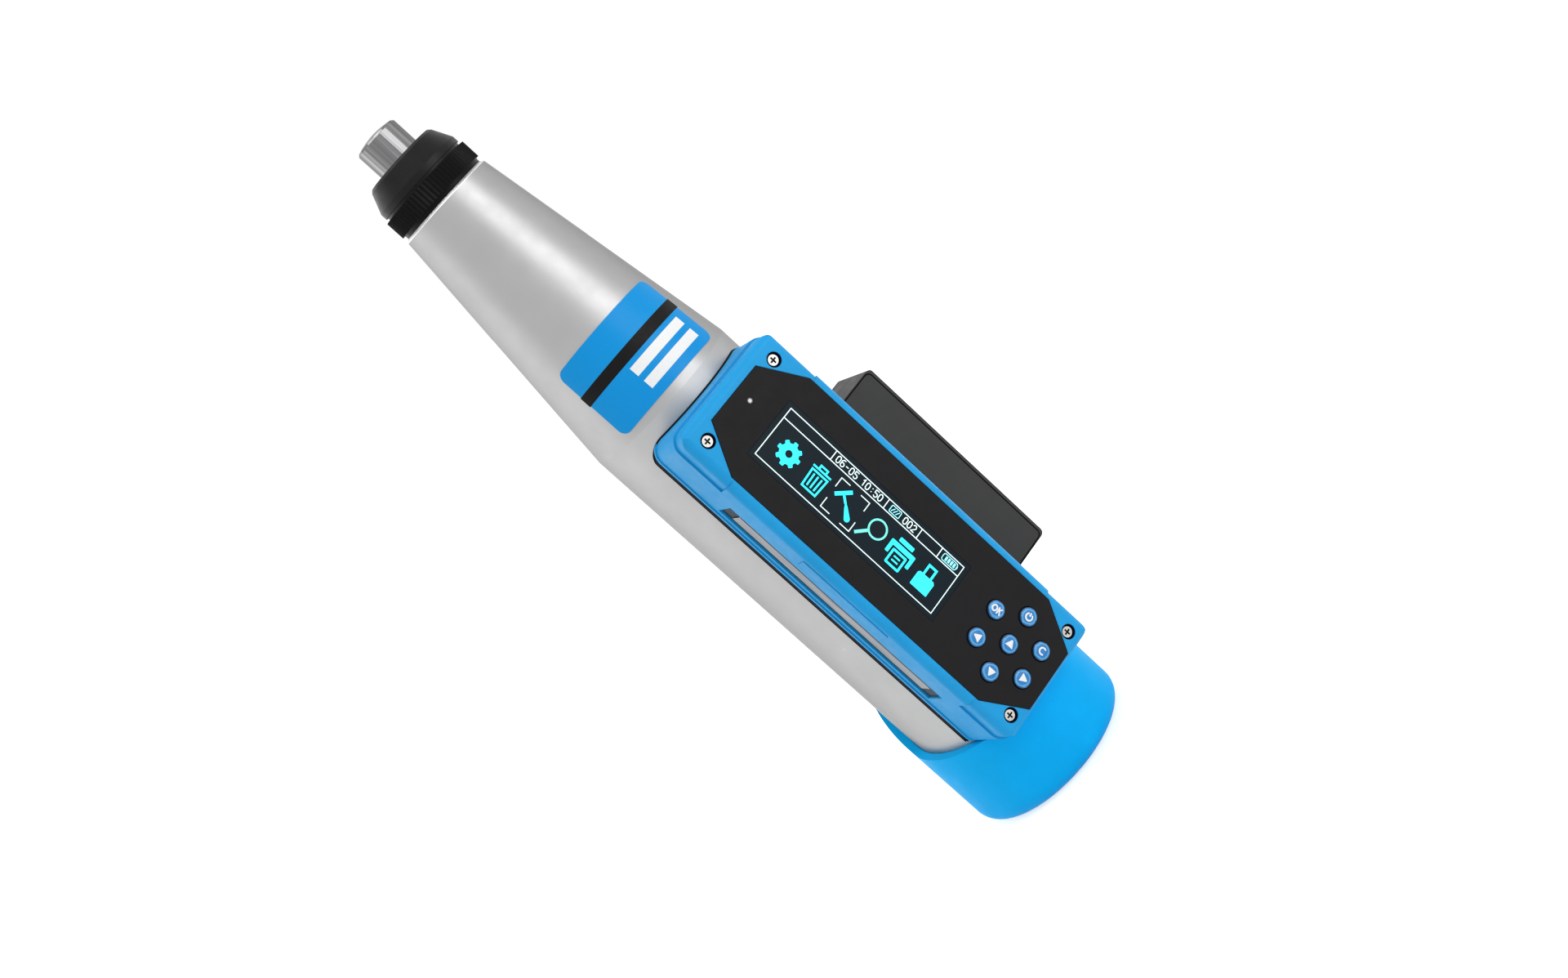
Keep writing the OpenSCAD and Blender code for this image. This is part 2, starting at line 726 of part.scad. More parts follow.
module trip_lock_nut() color(steel) translate([-trip_x, 0, plug_z1]) difference() {
    cylinder(d = nut_flats / cos(30), h = nut_t, $fn = 6);
    translate([0, 0, -1]) cylinder(r = trip_r + run, h = nut_t + 2);
}

module rear_boot() color(blue) difference() {
    rotate_extrude() difference() {
        union() {
            span([0, 0], [boot_r - boot_round, boot_back]);
            span([0, boot_round], [boot_r, boot_back]);
            translate([boot_r - boot_round, boot_round]) circle(boot_round);
        }
        span([-boot_r, -boot_r], [0, boot_back + 1]);
        span([-1, boot_floor], [boot_bore, boot_back + 1]);
    }
    along_x(-boot_r - 1, boot_r + 1) boot_cut();
    along_y(0, boot_r + 1)
        round_span([-case_r - pass, case_z0 - pass], [case_r + pass, case_z1], case_corner + pass);
    along_x(0, boot_r + 1) span([box_y0 - pass, box_z0 - pass], [box_y1 + pass, boot_back + 1]);
    translate([0, 0, lock_z]) rotate([-90, 0, 0]) cylinder(r = lock_bush_head_r + 1, h = boot_r + 1);
}

// Side view of what is cut from the boot: its edge rises slightly, then steeply to a tongue on the back
module boot_cut() {
    corner = [tongue_y, boot_front + (tongue_y - boot_tilt_y) * tan(boot_tilt)];
    start = [-boot_r - 1, corner[1] - (tongue_y + boot_r + 1) * tan(boot_tilt)];
    tongue = [tongue_y + (boot_back - corner[1]) / tan(tongue_rise), boot_back];
    top = bend(tongue, tongue_rise, 0, -tongue_round);
    polygon(concat([start], bend(corner, boot_tilt, tongue_rise, tongue_fillet), top,
        [[top[6][0], boot_back + 1], [-boot_r - 1, boot_back + 1]]));
}

// Lock button

// Turns a piece made along Z so that it points along +Y at the lock button
module at_lock() {
    translate([0, 0, lock_z]) rotate([-90, 0, 0]) children();
}

module lock_bush() color(steel) difference() {
    at_lock() rod(lock_bush_r, bore_r + 2 * seat, lock_bush_top);
    at_lock() rod(lock_pin_r + run, 0, tube_d);
    at_lock() rod(lock_pocket_r, lock_pocket_floor, tube_d);
}

module lock_button() color(steel) at_lock() {
    head = lock_bush_top + pass;
    rod(lock_pin_r, lock_tip, head + eps);
    rotate_extrude() polygon([[0, head], [lock_r, head], [lock_r, head + lock_head_t - 0.8],
        [lock_r - 0.8, head + lock_head_t], [0, head + lock_head_t]]);
}

module lock_spring() color(spring_steel) at_lock() translate([0, 0, lock_pocket_floor + seat])
    coil("lock spring", lock_pin_r + lock_pocket_r, lock_wire, lock_turns,
        lock_bush_top + pass - lock_pocket_floor - 2 * seat);

// Sensor box

// Cross-section of the box in X and Y, moved in by a margin, from a given place outwards
module box_section(from, margin) {
    y0 = box_y0 + margin;
    y1 = box_y1 - margin;
    lean = box_lean / box_w;
    polygon([[from, y0], [box_reach + margin * (lean - 1), y0],
        [box_reach + box_lean - margin * (1 + lean), y1], [from, y1]]);
}

module sensor_base() color(soot) difference() {
    union() {
        translate([0, box_y0, box_z0]) cube([base_top, box_w, box_len]);
        for (z = [post_z0, post_z1])
            translate([base_top - eps, -post_half, z]) cube([post_top - base_top, 2 * post_half, post_len]);
    }
    rod(tube_r + run, box_z0 - 1, box_z1 + 1);
    intersection() {
        case_block(-2 * rib_out - pass);
        translate([-case_w, -2 * tube_d, 0]) cube([2 * case_w, 2 * tube_d - case_foot + pass, tip_z]);
    }
    along_x(0, base_top + 1) round_span([-slot_half, slot_z0], [slot_half, slot_z1], slot_half - eps);
    translate([rail_x, 0, 0]) rod(rail_r + seat / 4, post_z0 - 1, post_z1 + post_len + 1);
    for (z = [post_z0, post_z1])
        translate([0, 0, z + post_len / 2]) rotate([0, 90, 0])
            translate([0, 0, post_top - cover_screw_len]) cylinder(r = cover_screw_r + seat / 4, h = tube_d);
}

module sensor_cover() color(soot) difference() {
    intersection() {
        translate([0, 0, box_z0]) linear_extrude(box_len) polygon(concat([[base_top, box_y0]],
            bend([box_reach, box_y0], 0, 90 - box_turn, box_round / 2),
            bend([box_reach + box_lean, box_y1], 90 - box_turn, 180, box_round / 2), [[base_top, box_y1]]));
        rotate([0, 0, -box_turn]) along_y(-tube_d, tube_d)
            round_span([0, box_z0], [box_face, box_z1], box_round);
    }
    translate([0, 0, box_z0 + box_wall]) linear_extrude(box_len - 2 * box_wall)
        box_section(base_top - 1, box_wall);
    for (z = [post_z0, post_z1]) translate([0, 0, z + post_len / 2]) rotate([0, 90, 0]) {
        cylinder(r = cover_screw_r + seat, h = 2 * tube_d);
        translate([0, 0, box_reach - cover_recess + seat]) cylinder(r = cover_head_r + seat, h = tube_d);
    }
}

module sensor_board() color(board_green)
    translate([sensor_x, -rider_half - 3, post_z0 + post_len + seat])
        cube([sensor_t, 2 * rider_half + 6, post_z1 - post_z0 - post_len - 2 * seat]);

module cover_screws() color(steel)
    for (z = [post_z0, post_z1]) translate([0, 0, z + post_len / 2]) rotate([0, 90, 0]) {
        head = box_reach - cover_recess + 2 * seat;
        rod(cover_screw_r, post_top - cover_screw_len + seat, head + eps);
        difference() {
            rod(cover_head_r, head, head + cover_head_t);
            for (a = [0, 90]) rotate([0, 0, a])
                translate([-cover_screw_r, -0.3, head + 0.6]) cube([2 * cover_screw_r, 0.6, cover_head_t]);
        }
    }

module rider() color(black) difference() {
    union() {
        translate([rider_x0, -rider_half, rider_z0]) cube([rider_x1 - rider_x0, 2 * rider_half, rider_len]);
        translate([arm_x1 - 1, -stem_half, rider_z0]) cube([rider_x0 - arm_x1 + 2, 2 * stem_half, stem_len]);
        translate([arm_x0, -stem_half, arm_z0])
            cube([arm_x1 - arm_x0, 2 * stem_half, rider_z0 + stem_len - arm_z0]);
    }
    translate([rail_x, 0, 0]) rod(rail_r + run, rider_z0 - 1, rider_z0 + rider_len + 1);
}

module rider_rail() color(steel) translate([rail_x, 0, 0])
    rod(rail_r, post_z0 + seat, post_z1 + post_len - seat);

// Display case

// The case as a full block: one view from the front, one from the end and one from the side
// The front keeps its place when the sides and ends are moved in
module case_block(inset) {
    low = [-case_r + inset, case_z0 + inset];
    high = [case_r - inset, case_z1 - inset];
    edge = case_edge;
    intersection() {
        along_y(0, face_y + 1) round_span(low, high, case_corner - inset);
        translate([0, 0, case_z0 - 1]) linear_extrude(case_len + 2)
            round_span([low[0], -case_top], [high[0], case_top], edge);
        along_x(low[0] - 1, high[0] + 1) round_span([-case_top, low[1]], [case_top, high[1]], edge);
    }
}

// The faceplate's outline in X and Z, an oblong with four cut corners, grown by a margin
module plate_outline(grow) {
    x = plate_w / 2 + grow;
    z = plate_len / 2 + grow;
    cut_x = x - plate_cut_w;
    cut_z = z - plate_cut;
    translate([0, plate_z0 + plate_len / 2]) polygon([[x, -cut_z], [x, cut_z], [cut_x, z], [-cut_x, z],
        [-x, cut_z], [-x, -cut_z], [-cut_x, -z], [cut_x, -z]]);
}

// Repeats a child at the four case screws, in X and Z
module at_screws() {
    for (x = [-screw_x / 2, screw_x / 2])
        for (z = [screw_z0, screw_z0 + screw_len])
            translate([x, z]) children();
}

// Repeats a child at the seven keys, in X and Z
module at_keys() {
    for (k = KEYS) translate([k[0] * key_step_x, key_z + k[1] * key_step_z]) children();
}

// The display's window in X and Z, grown by a margin
module window(grow) {
    translate([lens_x, screen_z])
        span([-lens_w / 2 - grow, -lens_len / 2 - grow], [lens_w / 2 + grow, lens_len / 2 + grow]);
}

// A band with slanted ends on the case's side, in Y and Z
module slant_band(low, high, z0, z1, slant) {
    polygon([[-high, z0], [-low, z0 - slant], [-low, z1 - slant], [-high, z1]]);
}

module display_case() color(blue) difference() {
    union() {
        case_block(0);
        for (side = [-1, 1]) scale([side, 1, 1]) side_field();
        intersection() {
            case_block(-rib_out);
            along_y(rib_low, rib_high) span([-case_w, rib_z0], [case_w, case_z1 + 1]);
        }
    }
    difference() {
        corner_pads();
        case_block(pad_depth);
    }
    intersection() {
        case_block(case_wall);
        along_y(0, case_roof) span([-case_w, case_z0], [case_w, case_z1]);
    }
    rod(gasket_r, case_z0 - 1, case_z1 + 1);
    translate([-case_w, -case_foot, case_z0 - 1]) cube([2 * case_w, tube_d, case_len + 2]);
    along_y(plate_seat, face_y + 1) plate_outline(seat);
    along_y(0, face_y + 1) window(-seat);
    along_y(0, face_y + 1) at_keys() circle(key_hole_r);
    along_y(0, face_y + 1) translate([led_x, led_z]) circle(led_r + seat);
    along_y(0, face_y + 1) at_screws() circle(screw_r + seat);
    along_y(case_top - screw_recess - screw_head_t, face_y + 1) at_screws() circle(screw_recess_r);
    for (side = [-1, 1]) scale([side, 1, 1]) along_x(case_r - groove_depth, case_r + 1)
        slant_band(groove_low, groove_high, groove_z0, groove_z1, groove_slant);
}

// What the pads round the corner screws take from both ends of the case, before its inside is put back
module corner_pads() along_x(-case_w, case_w) {
    polygon([[-pad_low, case_z0 - 1], [-pad_low, pad_z0 + pad_slant], [-face_y - 1, pad_z0],
        [-face_y - 1, case_z0 - 1]]);
    polygon([[-pad_low, case_z1 + 1], [-pad_low, pad_z1 - pad_slant], [-face_y - 1, pad_z1],
        [-face_y - 1, case_z1 + 1]]);
}

// The low field in the middle of the case's side
module side_field() along_x(case_r - 1, case_r + field_out)
    slant_band(field_low, field_high, field_z0, field_z1, field_slant);

module side_strips() color(steel) for (side = [-1, 1]) scale([side, 1, 1])
    along_x(case_r - groove_depth + run, case_r - groove_depth + 0.5)
        slant_band(strip_low, strip_high, groove_z0 + strip_end, groove_z1 - strip_end, groove_slant);

module case_gasket() color(black) intersection() {
    difference() {
        case_block(0);
        case_block(case_wall);
    }
    ring(tube_r + run, gasket_r - run, case_z0 - 1, case_z1 + 1);
    translate([-case_w, -tube_d, case_z0]) cube([2 * case_w, tube_d - case_foot, case_len]);
}

module faceplate() color(black) difference() {
    along_y(plate_seat, face_y) plate_outline(0);
    along_y(0, face_y + 1) window(seat);
    along_y(0, face_y + 1) at_keys() circle(key_hole_r);
    along_y(0, face_y + 1) translate([led_x, led_z]) circle(led_r + seat);
}

module display_lens() color(black) along_y(face_y - lens_t, face_y) window(0);

module oled_module() color(soot) {
    along_y(oled_y, oled_y + oled_board_t) translate([lens_x, screen_z])
        span([-oled_half, -oled_len / 2], [oled_half, oled_len / 2]);
    along_y(oled_y + oled_board_t - eps, oled_face) window(-3 * seat);
}

module case_base() color(soot) difference() {
    union() {
        along_y(0, base_y) round_span([-base_half, case_z0 + base_end], [base_half, case_z1 - base_end],
            case_corner - case_wall);
        along_y(base_y - eps, case_roof - seat) at_screws() circle(stud_r);
        along_y(base_y - eps, board_y) for (x = [-pillar_x, pillar_x]) for (z = pillar_z)
            translate([x, z]) circle(pillar_r);
    }
    rod(tube_r + run, case_z0, case_z1);
    translate([-case_w, -base_foot, case_z0]) cube([2 * case_w, tube_d, case_len]);
    along_y(screw_tip - 1, face_y) at_screws() circle(screw_r + seat / 4);
    along_y(0, face_y) for (z = base_screw_z) translate([0, z]) circle(base_screw_r + seat);
    along_y(base_y - base_head_t, face_y) for (z = base_screw_z) translate([0, z]) circle(base_head_r + seat);
}

module base_screws() color(steel) for (z = base_screw_z) {
    along_y(bore_r + 2 * seat, base_y - base_head_t + eps) translate([0, z]) circle(base_screw_r);
    along_y(base_y - base_head_t, base_y) translate([0, z]) circle(base_head_r);
}

module battery() color(label_blue) along_y(base_y + seat, base_y + seat + battery_t)
    round_span([-battery_half, battery_z0], [battery_half, battery_z0 + battery_len], 1.5);

module main_board() color(board_green) along_y(board_y, board_y + board_t) {
    span([-board_half, board_z0], [board_half, board_z1]);
    span([-board_tongue, board_z0 - board_reach], [board_tongue, board_z1 + board_reach]);
}

module keypad_mat() color(soot) along_y(board_y + board_t, board_y + board_t + mat_t) {
    round_span([-2 * key_step_x - mat_margin, key_z - mat_margin - 1],
        [2 * key_step_x + mat_margin, key_z + mat_margin + 1], 3);
    round_span([-key_step_x - mat_margin, key_z - key_step_z - mat_margin],
        [key_step_x + mat_margin, key_z + key_step_z + mat_margin], 3);
}

module key(place) color(label_blue) intersection() {
    union() {
        along_y(key_flange_y - key_flange_t, key_flange_y) key_spot(place) circle(key_flange_r);
        along_y(key_flange_y - eps, key_top) key_spot(place) circle(key_r);
    }
    translate([place[0] * key_step_x, key_dome_r - key_top, key_z + place[1] * key_step_z])
        sphere(r = key_dome_r, $fn = 96);
}

// Moves an outline to one place of the key grid
module key_spot(place) {
    translate([place[0] * key_step_x, key_z + place[1] * key_step_z]) children();
}

module status_led() color([0.85, 0.88, 0.86]) along_y(board_y + board_t + seat, face_y)
    translate([led_x, led_z]) circle(led_r);

module case_screws() color(steel) difference() {
    union() {
        along_y(screw_tip, case_top - screw_recess) at_screws() circle(screw_r);
        along_y(case_top - screw_recess - screw_head_t, case_top - screw_recess)
            at_screws() circle(screw_head_r);
    }
    along_y(case_top - screw_recess - 0.7, face_y) at_screws() for (a = [0, 90]) rotate(a)
        span([-screw_slot, -0.28], [screw_slot, 0.28]);
}

housing();
label();
nose_cap();
lock_ring();
two_part_ring();
felt_washer();
guide_sleeve();
plunger();
retaining_spring();
guide_bar();
guide_disk();
pawl();
pawl_pin();
pawl_spring();
hammer_mass();
impact_spring();
return_spring();
rear_cover();
trip_screw();
trip_lock_nut();
rear_boot();
lock_button();
lock_bush();
lock_spring();
sensor_base();
sensor_cover();
sensor_board();
cover_screws();
rider();
rider_rail();
case_base();
base_screws();
case_gasket();
display_case();
faceplate();
display_lens();
oled_module();
main_board();
battery();
keypad_mat();
key(KEYS[0]);  // key_power
key(KEYS[1]);  // key_ok
key(KEYS[2]);  // key_clear
key(KEYS[3]);  // key_up
key(KEYS[4]);  // key_left
key(KEYS[5]);  // key_right
key(KEYS[6]);  // key_down
status_led();
case_screws();
side_strips();
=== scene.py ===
"""Digital rebound hammer: finishes, printed signs, springs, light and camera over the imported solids."""
import json
import math

import bmesh
import bpy
import numpy as np
from bpy.props import FloatProperty, FloatVectorProperty, IntProperty, PointerProperty
from mathutils import Matrix, Vector

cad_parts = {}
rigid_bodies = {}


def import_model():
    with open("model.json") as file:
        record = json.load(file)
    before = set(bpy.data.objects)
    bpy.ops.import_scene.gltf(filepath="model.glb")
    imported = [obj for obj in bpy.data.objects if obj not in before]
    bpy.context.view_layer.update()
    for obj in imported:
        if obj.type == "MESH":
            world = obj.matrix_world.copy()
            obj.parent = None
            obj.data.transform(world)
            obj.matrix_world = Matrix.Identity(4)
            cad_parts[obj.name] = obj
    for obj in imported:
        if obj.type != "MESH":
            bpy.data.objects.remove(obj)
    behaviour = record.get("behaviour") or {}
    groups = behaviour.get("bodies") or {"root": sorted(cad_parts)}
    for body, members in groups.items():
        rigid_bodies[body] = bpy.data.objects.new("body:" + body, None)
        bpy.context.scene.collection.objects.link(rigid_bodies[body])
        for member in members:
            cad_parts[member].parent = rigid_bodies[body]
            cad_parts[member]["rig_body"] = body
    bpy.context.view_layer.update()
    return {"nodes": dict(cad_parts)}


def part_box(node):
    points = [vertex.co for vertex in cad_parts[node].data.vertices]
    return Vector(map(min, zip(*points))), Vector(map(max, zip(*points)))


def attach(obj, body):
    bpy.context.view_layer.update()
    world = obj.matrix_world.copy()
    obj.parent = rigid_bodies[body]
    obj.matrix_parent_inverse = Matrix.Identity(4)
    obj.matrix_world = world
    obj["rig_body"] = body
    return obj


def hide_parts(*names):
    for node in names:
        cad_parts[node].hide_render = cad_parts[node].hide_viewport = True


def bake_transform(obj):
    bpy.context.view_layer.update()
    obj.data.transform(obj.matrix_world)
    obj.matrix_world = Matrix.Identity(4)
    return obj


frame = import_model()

bl_info = {
    "name": "Rebound hammer",
    "version": (1, 0, 0),
    "blender": (4, 5, 0),
    "location": "View3D > Sidebar > Hammer",
    "description": "Finishes, printed signs, springs and studio of a digital rebound hammer",
    "category": "Object",
}

MM = 0.001
SHARP = math.radians(35)  # faces that meet at a larger angle keep a hard edge

# Lengths in millimetres
TUBE_R = 27.2  # radius of the tube
CONE_START = 169.1  # height where the tube runs into the cone
CONE_SLOPE = 0.12705  # what the cone's radius loses for each millimetre of height
FILM = 0.35  # how far the label stands off the cone
CASE_CORNER = 5.0  # radius of the case's corners at its foot
FOOT_START = 2.8  # where the lines at the foot begin, above the gasket's lower end
SUNK = 0.02  # how deep print and lines are set into what carries them
DOT = 0.27  # pitch of the display's dots


def srgb(*shade):
    """A display colour from 0 to 255 as linear light."""
    v = np.array(shade) / 255
    return tuple(float(c) for c in np.where(v <= 0.04045, v / 12.92, ((v + 0.055) / 1.055) ** 2.4))


def tint(name, description, *shade):
    """A colour property with a display colour as its default."""
    return FloatVectorProperty(name=name, description=description, subtype="COLOR", size=3, min=0, max=1,
                               default=srgb(*shade))


def length(name, description, mm):
    """A length property with millimetres as its default."""
    return FloatProperty(name=name, description=description, unit="LENGTH", subtype="DISTANCE", min=0,
                         precision=5, default=mm * MM)


class HammerColours(bpy.types.PropertyGroup):
    """Colours of the hammer's finishes"""
    silver: tint("Silver body", "Satin silver of the tube and cone", 171, 171, 171)
    case_blue: tint("Case", "Moulded blue of the display case", 28, 154, 217)
    boot_blue: tint("Boot", "Rubber blue of the boot", 0, 177, 246)
    label_blue: tint("Label", "Film blue of the label", 9, 145, 216)
    key_blue: tint("Keys", "Clear blue of the keys", 38, 140, 219)
    plate_black: tint("Faceplate", "Matt black of the faceplate", 20, 19, 21)
    box_grey: tint("Sensor box", "Dark grey of the sensor box", 55, 55, 54)
    nose_black: tint("Nose", "Black finish of the cap and ring", 18, 18, 19)
    glass: tint("Screen", "Dark glass over the display", 13, 31, 40)
    lit_cyan: tint("Lit signs", "Light of the display's signs", 52, 230, 252)
    lit_pale: tint("Lit status", "Light of the display's two status signs", 146, 233, 244)
    lit_white: tint("Lit lines", "Light of the display's lines", 214, 236, 236)
    sign_white: tint("Printed white", "White of the key signs and the label's boxes", 240, 240, 238)
    band_black: tint("Label band", "Black of the label's band", 8, 8, 9)


class HammerSizes(bpy.types.PropertyGroup):
    """Sizes of the fine pieces"""
    print_lift: length("Print height", "How far print stands off what carries it", 0.03)
    frame_w: length("Display frame width", "Length of the frame on the display", 69.6)
    frame_h: length("Display frame height", "Height of the frame on the display", 17.6)
    line_w: length("Display line", "Width of the display's lines", 0.3)
    digit_h: length("Digit height", "Height of the display's digits", 2.1)
    sign_w: length("Key sign", "Width of an arrow on a key", 2.8)
    key_r: length("Key", "Radius of a key where it stands out of the plate", 2.9)
    dome_r: length("Key dome", "Radius of the ball that a key's face is cut from", 9)
    band_w: length("Label band", "Width of the dark band on the label", 3.8)
    box_gap: length("Label boxes", "Step between the pale boxes on the label", 5.3)
    bead_r: length("Gasket bead", "Radius of the bead along the foot of the case", 0.3)
    wire_sides: IntProperty(name="Wire sides", description="Facets round a spring's wire", default=14, min=6)
    coil_steps: IntProperty(name="Coil steps", description="Facets in one turn of a spring", default=40,
                            min=12)


def colour(name):
    """A colour of the panel with its alpha."""
    return (*getattr(bpy.context.scene.hammer_colours, name), 1.0)


def size(name):
    """A length of the panel in millimetres."""
    return getattr(bpy.context.scene.hammer_sizes, name) / MM


def box_mm(node):
    """Lowest and highest corner of a solid, in millimetres."""
    low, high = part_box(node)
    return np.array(low) / MM, np.array(high) / MM


# Shapes


def wall(rows, joined=False):
    """Skin of closed loops carried along a path: point j of loop i meets its neighbours j + 1 and i + 1.
    The first and last loops are closed by a flat cap unless the path runs back into itself."""
    n, m = rows.shape[:2]
    i, j = np.meshgrid(np.arange(n if joined else n - 1), np.arange(m), indexing="ij")
    a, b = (i + 1) % n, (j + 1) % m
    quads = np.stack([i * m + j, i * m + b, a * m + b, a * m + j], -1).reshape(-1, 4)
    caps = np.empty((0, m), int) if joined else np.stack([np.arange(m)[::-1], (n - 1) * m + np.arange(m)])
    return rows.reshape(-1, 3), quads, caps


def mitred(path, width, joined=False):
    """Both edges of a line: half its width laid off along the mitre (a + b) / (1 + a.b), where a and b are
    the normals of the two sides that meet at a point."""
    p = np.asarray(path, float)
    ahead = np.roll(p, -1, 0) - p
    if not joined:
        ahead[-1] = ahead[-2]
    ahead /= np.linalg.norm(ahead, axis=1, keepdims=True)
    behind = np.roll(ahead, 1, 0)
    if not joined:
        behind[0] = ahead[0]
    a, b = np.stack([-ahead[:, 1], ahead[:, 0]], 1), np.stack([-behind[:, 1], behind[:, 0]], 1)
    mitre = (a + b) / (1 + (a * b).sum(1, keepdims=True)) * width / 2
    return p + mitre, p - mitre


def line(place, path, width, low, high, joined=False):
    """A raised line: a flat oblong section carried along a path on the carrying surface."""
    left, right = mitred(path, width, joined)
    return hoop(place, left, right, low, high, joined)


def plate(place, outline, low, high):
    """A raised plate: one outline at two heights over the carrying surface."""
    o = np.asarray(outline, float)
    return wall(np.stack([place(o, low), place(o, high)]))


def hoop(place, outer, inner, low, high, joined=True):
    """A raised band between two outlines of equal count, such as a plate with a hole."""
    section = [place(outer, low), place(outer, high), place(inner, high), place(inner, low)]
    return wall(np.stack(section, 1), joined)


def arc(x, y, r, start=0.0, end=360.0, count=48):
    """Points on a circle of radius r about x, y between two angles."""
    a = np.radians(np.linspace(start, end, count, endpoint=abs(end - start) < 360))
    return np.stack([x + r * np.cos(a), y + r * np.sin(a)], 1)


def oblong(x0, y0, x1, y1, r=0.0, count=6):
    """A rectangle whose corners are quarter circles of radius r."""
    if r <= 0:
        return np.array([[x0, y0], [x1, y0], [x1, y1], [x0, y1]], float)
    corners = ((x1 - r, y0 + r, -90), (x1 - r, y1 - r, 0), (x0 + r, y1 - r, 90), (x0 + r, y0 + r, 180))
    return np.concatenate([arc(x, y, r, a, a + 90, count) for x, y, a in corners])


def turned(points, degrees):
    """Points turned about the middle."""
    c, s = math.cos(math.radians(degrees)), math.sin(math.radians(degrees))
    return points @ np.array([[c, s], [-s, c]])


def finer(path, joined, count=8):
    """The same path with more points on each of its sides, so that it can follow a dome."""
    p = np.asarray(path, float)
    sides = zip(p, np.roll(p, -1, 0)) if joined else zip(p[:-1], p[1:])
    fine = np.concatenate([np.linspace(a, b, count, endpoint=False) for a, b in sides])
    return fine if joined else np.concatenate([fine, p[-1:]])


def gear(x, y, root, tip, teeth, count=160, steep=6):
    """A gear's outline: the radius runs from root to tip with the step tanh(steep * cos(teeth * angle))."""
    a = np.linspace(0, 2 * np.pi, count, endpoint=False)
    r = root + (tip - root) * (0.5 + 0.5 * np.tanh(steep * np.cos(teeth * a)))
    return np.stack([x + r * np.cos(a), y + r * np.sin(a)], 1)


def loop(path):
    """A line that runs back into itself, as a (path, joined) pair."""
    return path, True


def run(*points):
    """A line with two ends, as a (path, joined) pair."""
    return points, False


def figures(text, x, y, high, step, wide=0.55):
    """Lines of a row of figures. Each is drawn on a grid one unit wide and two high, which is scaled to its
    height and to a width that is a share of it."""
    strokes = {
        "0": [loop([(0, .4), (.3, 0), (.7, 0), (1, .4), (1, 1.6), (.7, 2), (.3, 2), (0, 1.6)])],
        "1": [run((.15, 1.5), (.6, 2), (.6, 0))],
        "2": [run((0, 1.6), (.3, 2), (.7, 2), (1, 1.6), (1, 1.2), (0, 0), (1, 0))],
        "5": [run((1, 2), (0, 2), (0, 1.15), (.7, 1.15), (1, .8), (1, .35), (.7, 0), (.3, 0), (0, .3))],
        "6": [run((.9, 2), (.35, 2), (0, 1.6), (0, .35), (.3, 0), (.7, 0), (1, .35), (1, .8), (.7, 1.15),
                  (.1, 1.15))],
        "-": [run((.1, 1), (.9, 1))],
        ":": [run((.5, .35), (.5, .65)), run((.5, 1.35), (.5, 1.65))],
    }
    scale = np.array([high * wide, high / 2])
    return [(np.array(path) * scale + (x + k * step, y), joined)
            for k, sign in enumerate(text) for path, joined in strokes[sign]]


def piece(name, shapes, finish, body, stands_for=()):
    """One mesh of closed shapes, in place, faces outwards, riding on a body, or, given anything but a body's
    name, left loose with its place baked into the mesh.
    """
    points, faces, start = [], [], 0
    for p, quads, caps in shapes:
        points.append(p)
        faces += (quads + start).tolist() + (caps + start).tolist()
        start += len(p)
    mesh = bpy.data.meshes.new(name)
    mesh.from_pydata((np.concatenate(points) * MM).tolist(), [], faces)
    work = bmesh.new()
    work.from_mesh(mesh)
    bmesh.ops.recalc_face_normals(work, faces=work.faces)
    work.to_mesh(mesh)
    work.free()
    mesh.polygons.foreach_set("use_smooth", np.ones(len(mesh.polygons), bool))
    mesh.set_sharp_from_angle(angle=SHARP)
    mesh.materials.append(finish)
    obj = bpy.data.objects.new(name, mesh)
    bpy.context.scene.collection.objects.link(obj)
    if isinstance(body, str):
        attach(obj, body)
    else:
        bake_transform(obj)
    if stands_for:
        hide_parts(*stands_for)


def body_of(node):
    """The body that a solid moves with."""
    return frame["nodes"][node]["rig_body"]


def dress(finish, *nodes):
    """Gives a finish to solids of the frame."""
    for name in nodes:
        for place in frame["nodes"][name].material_slots:
            place.material = finish


# Finishes


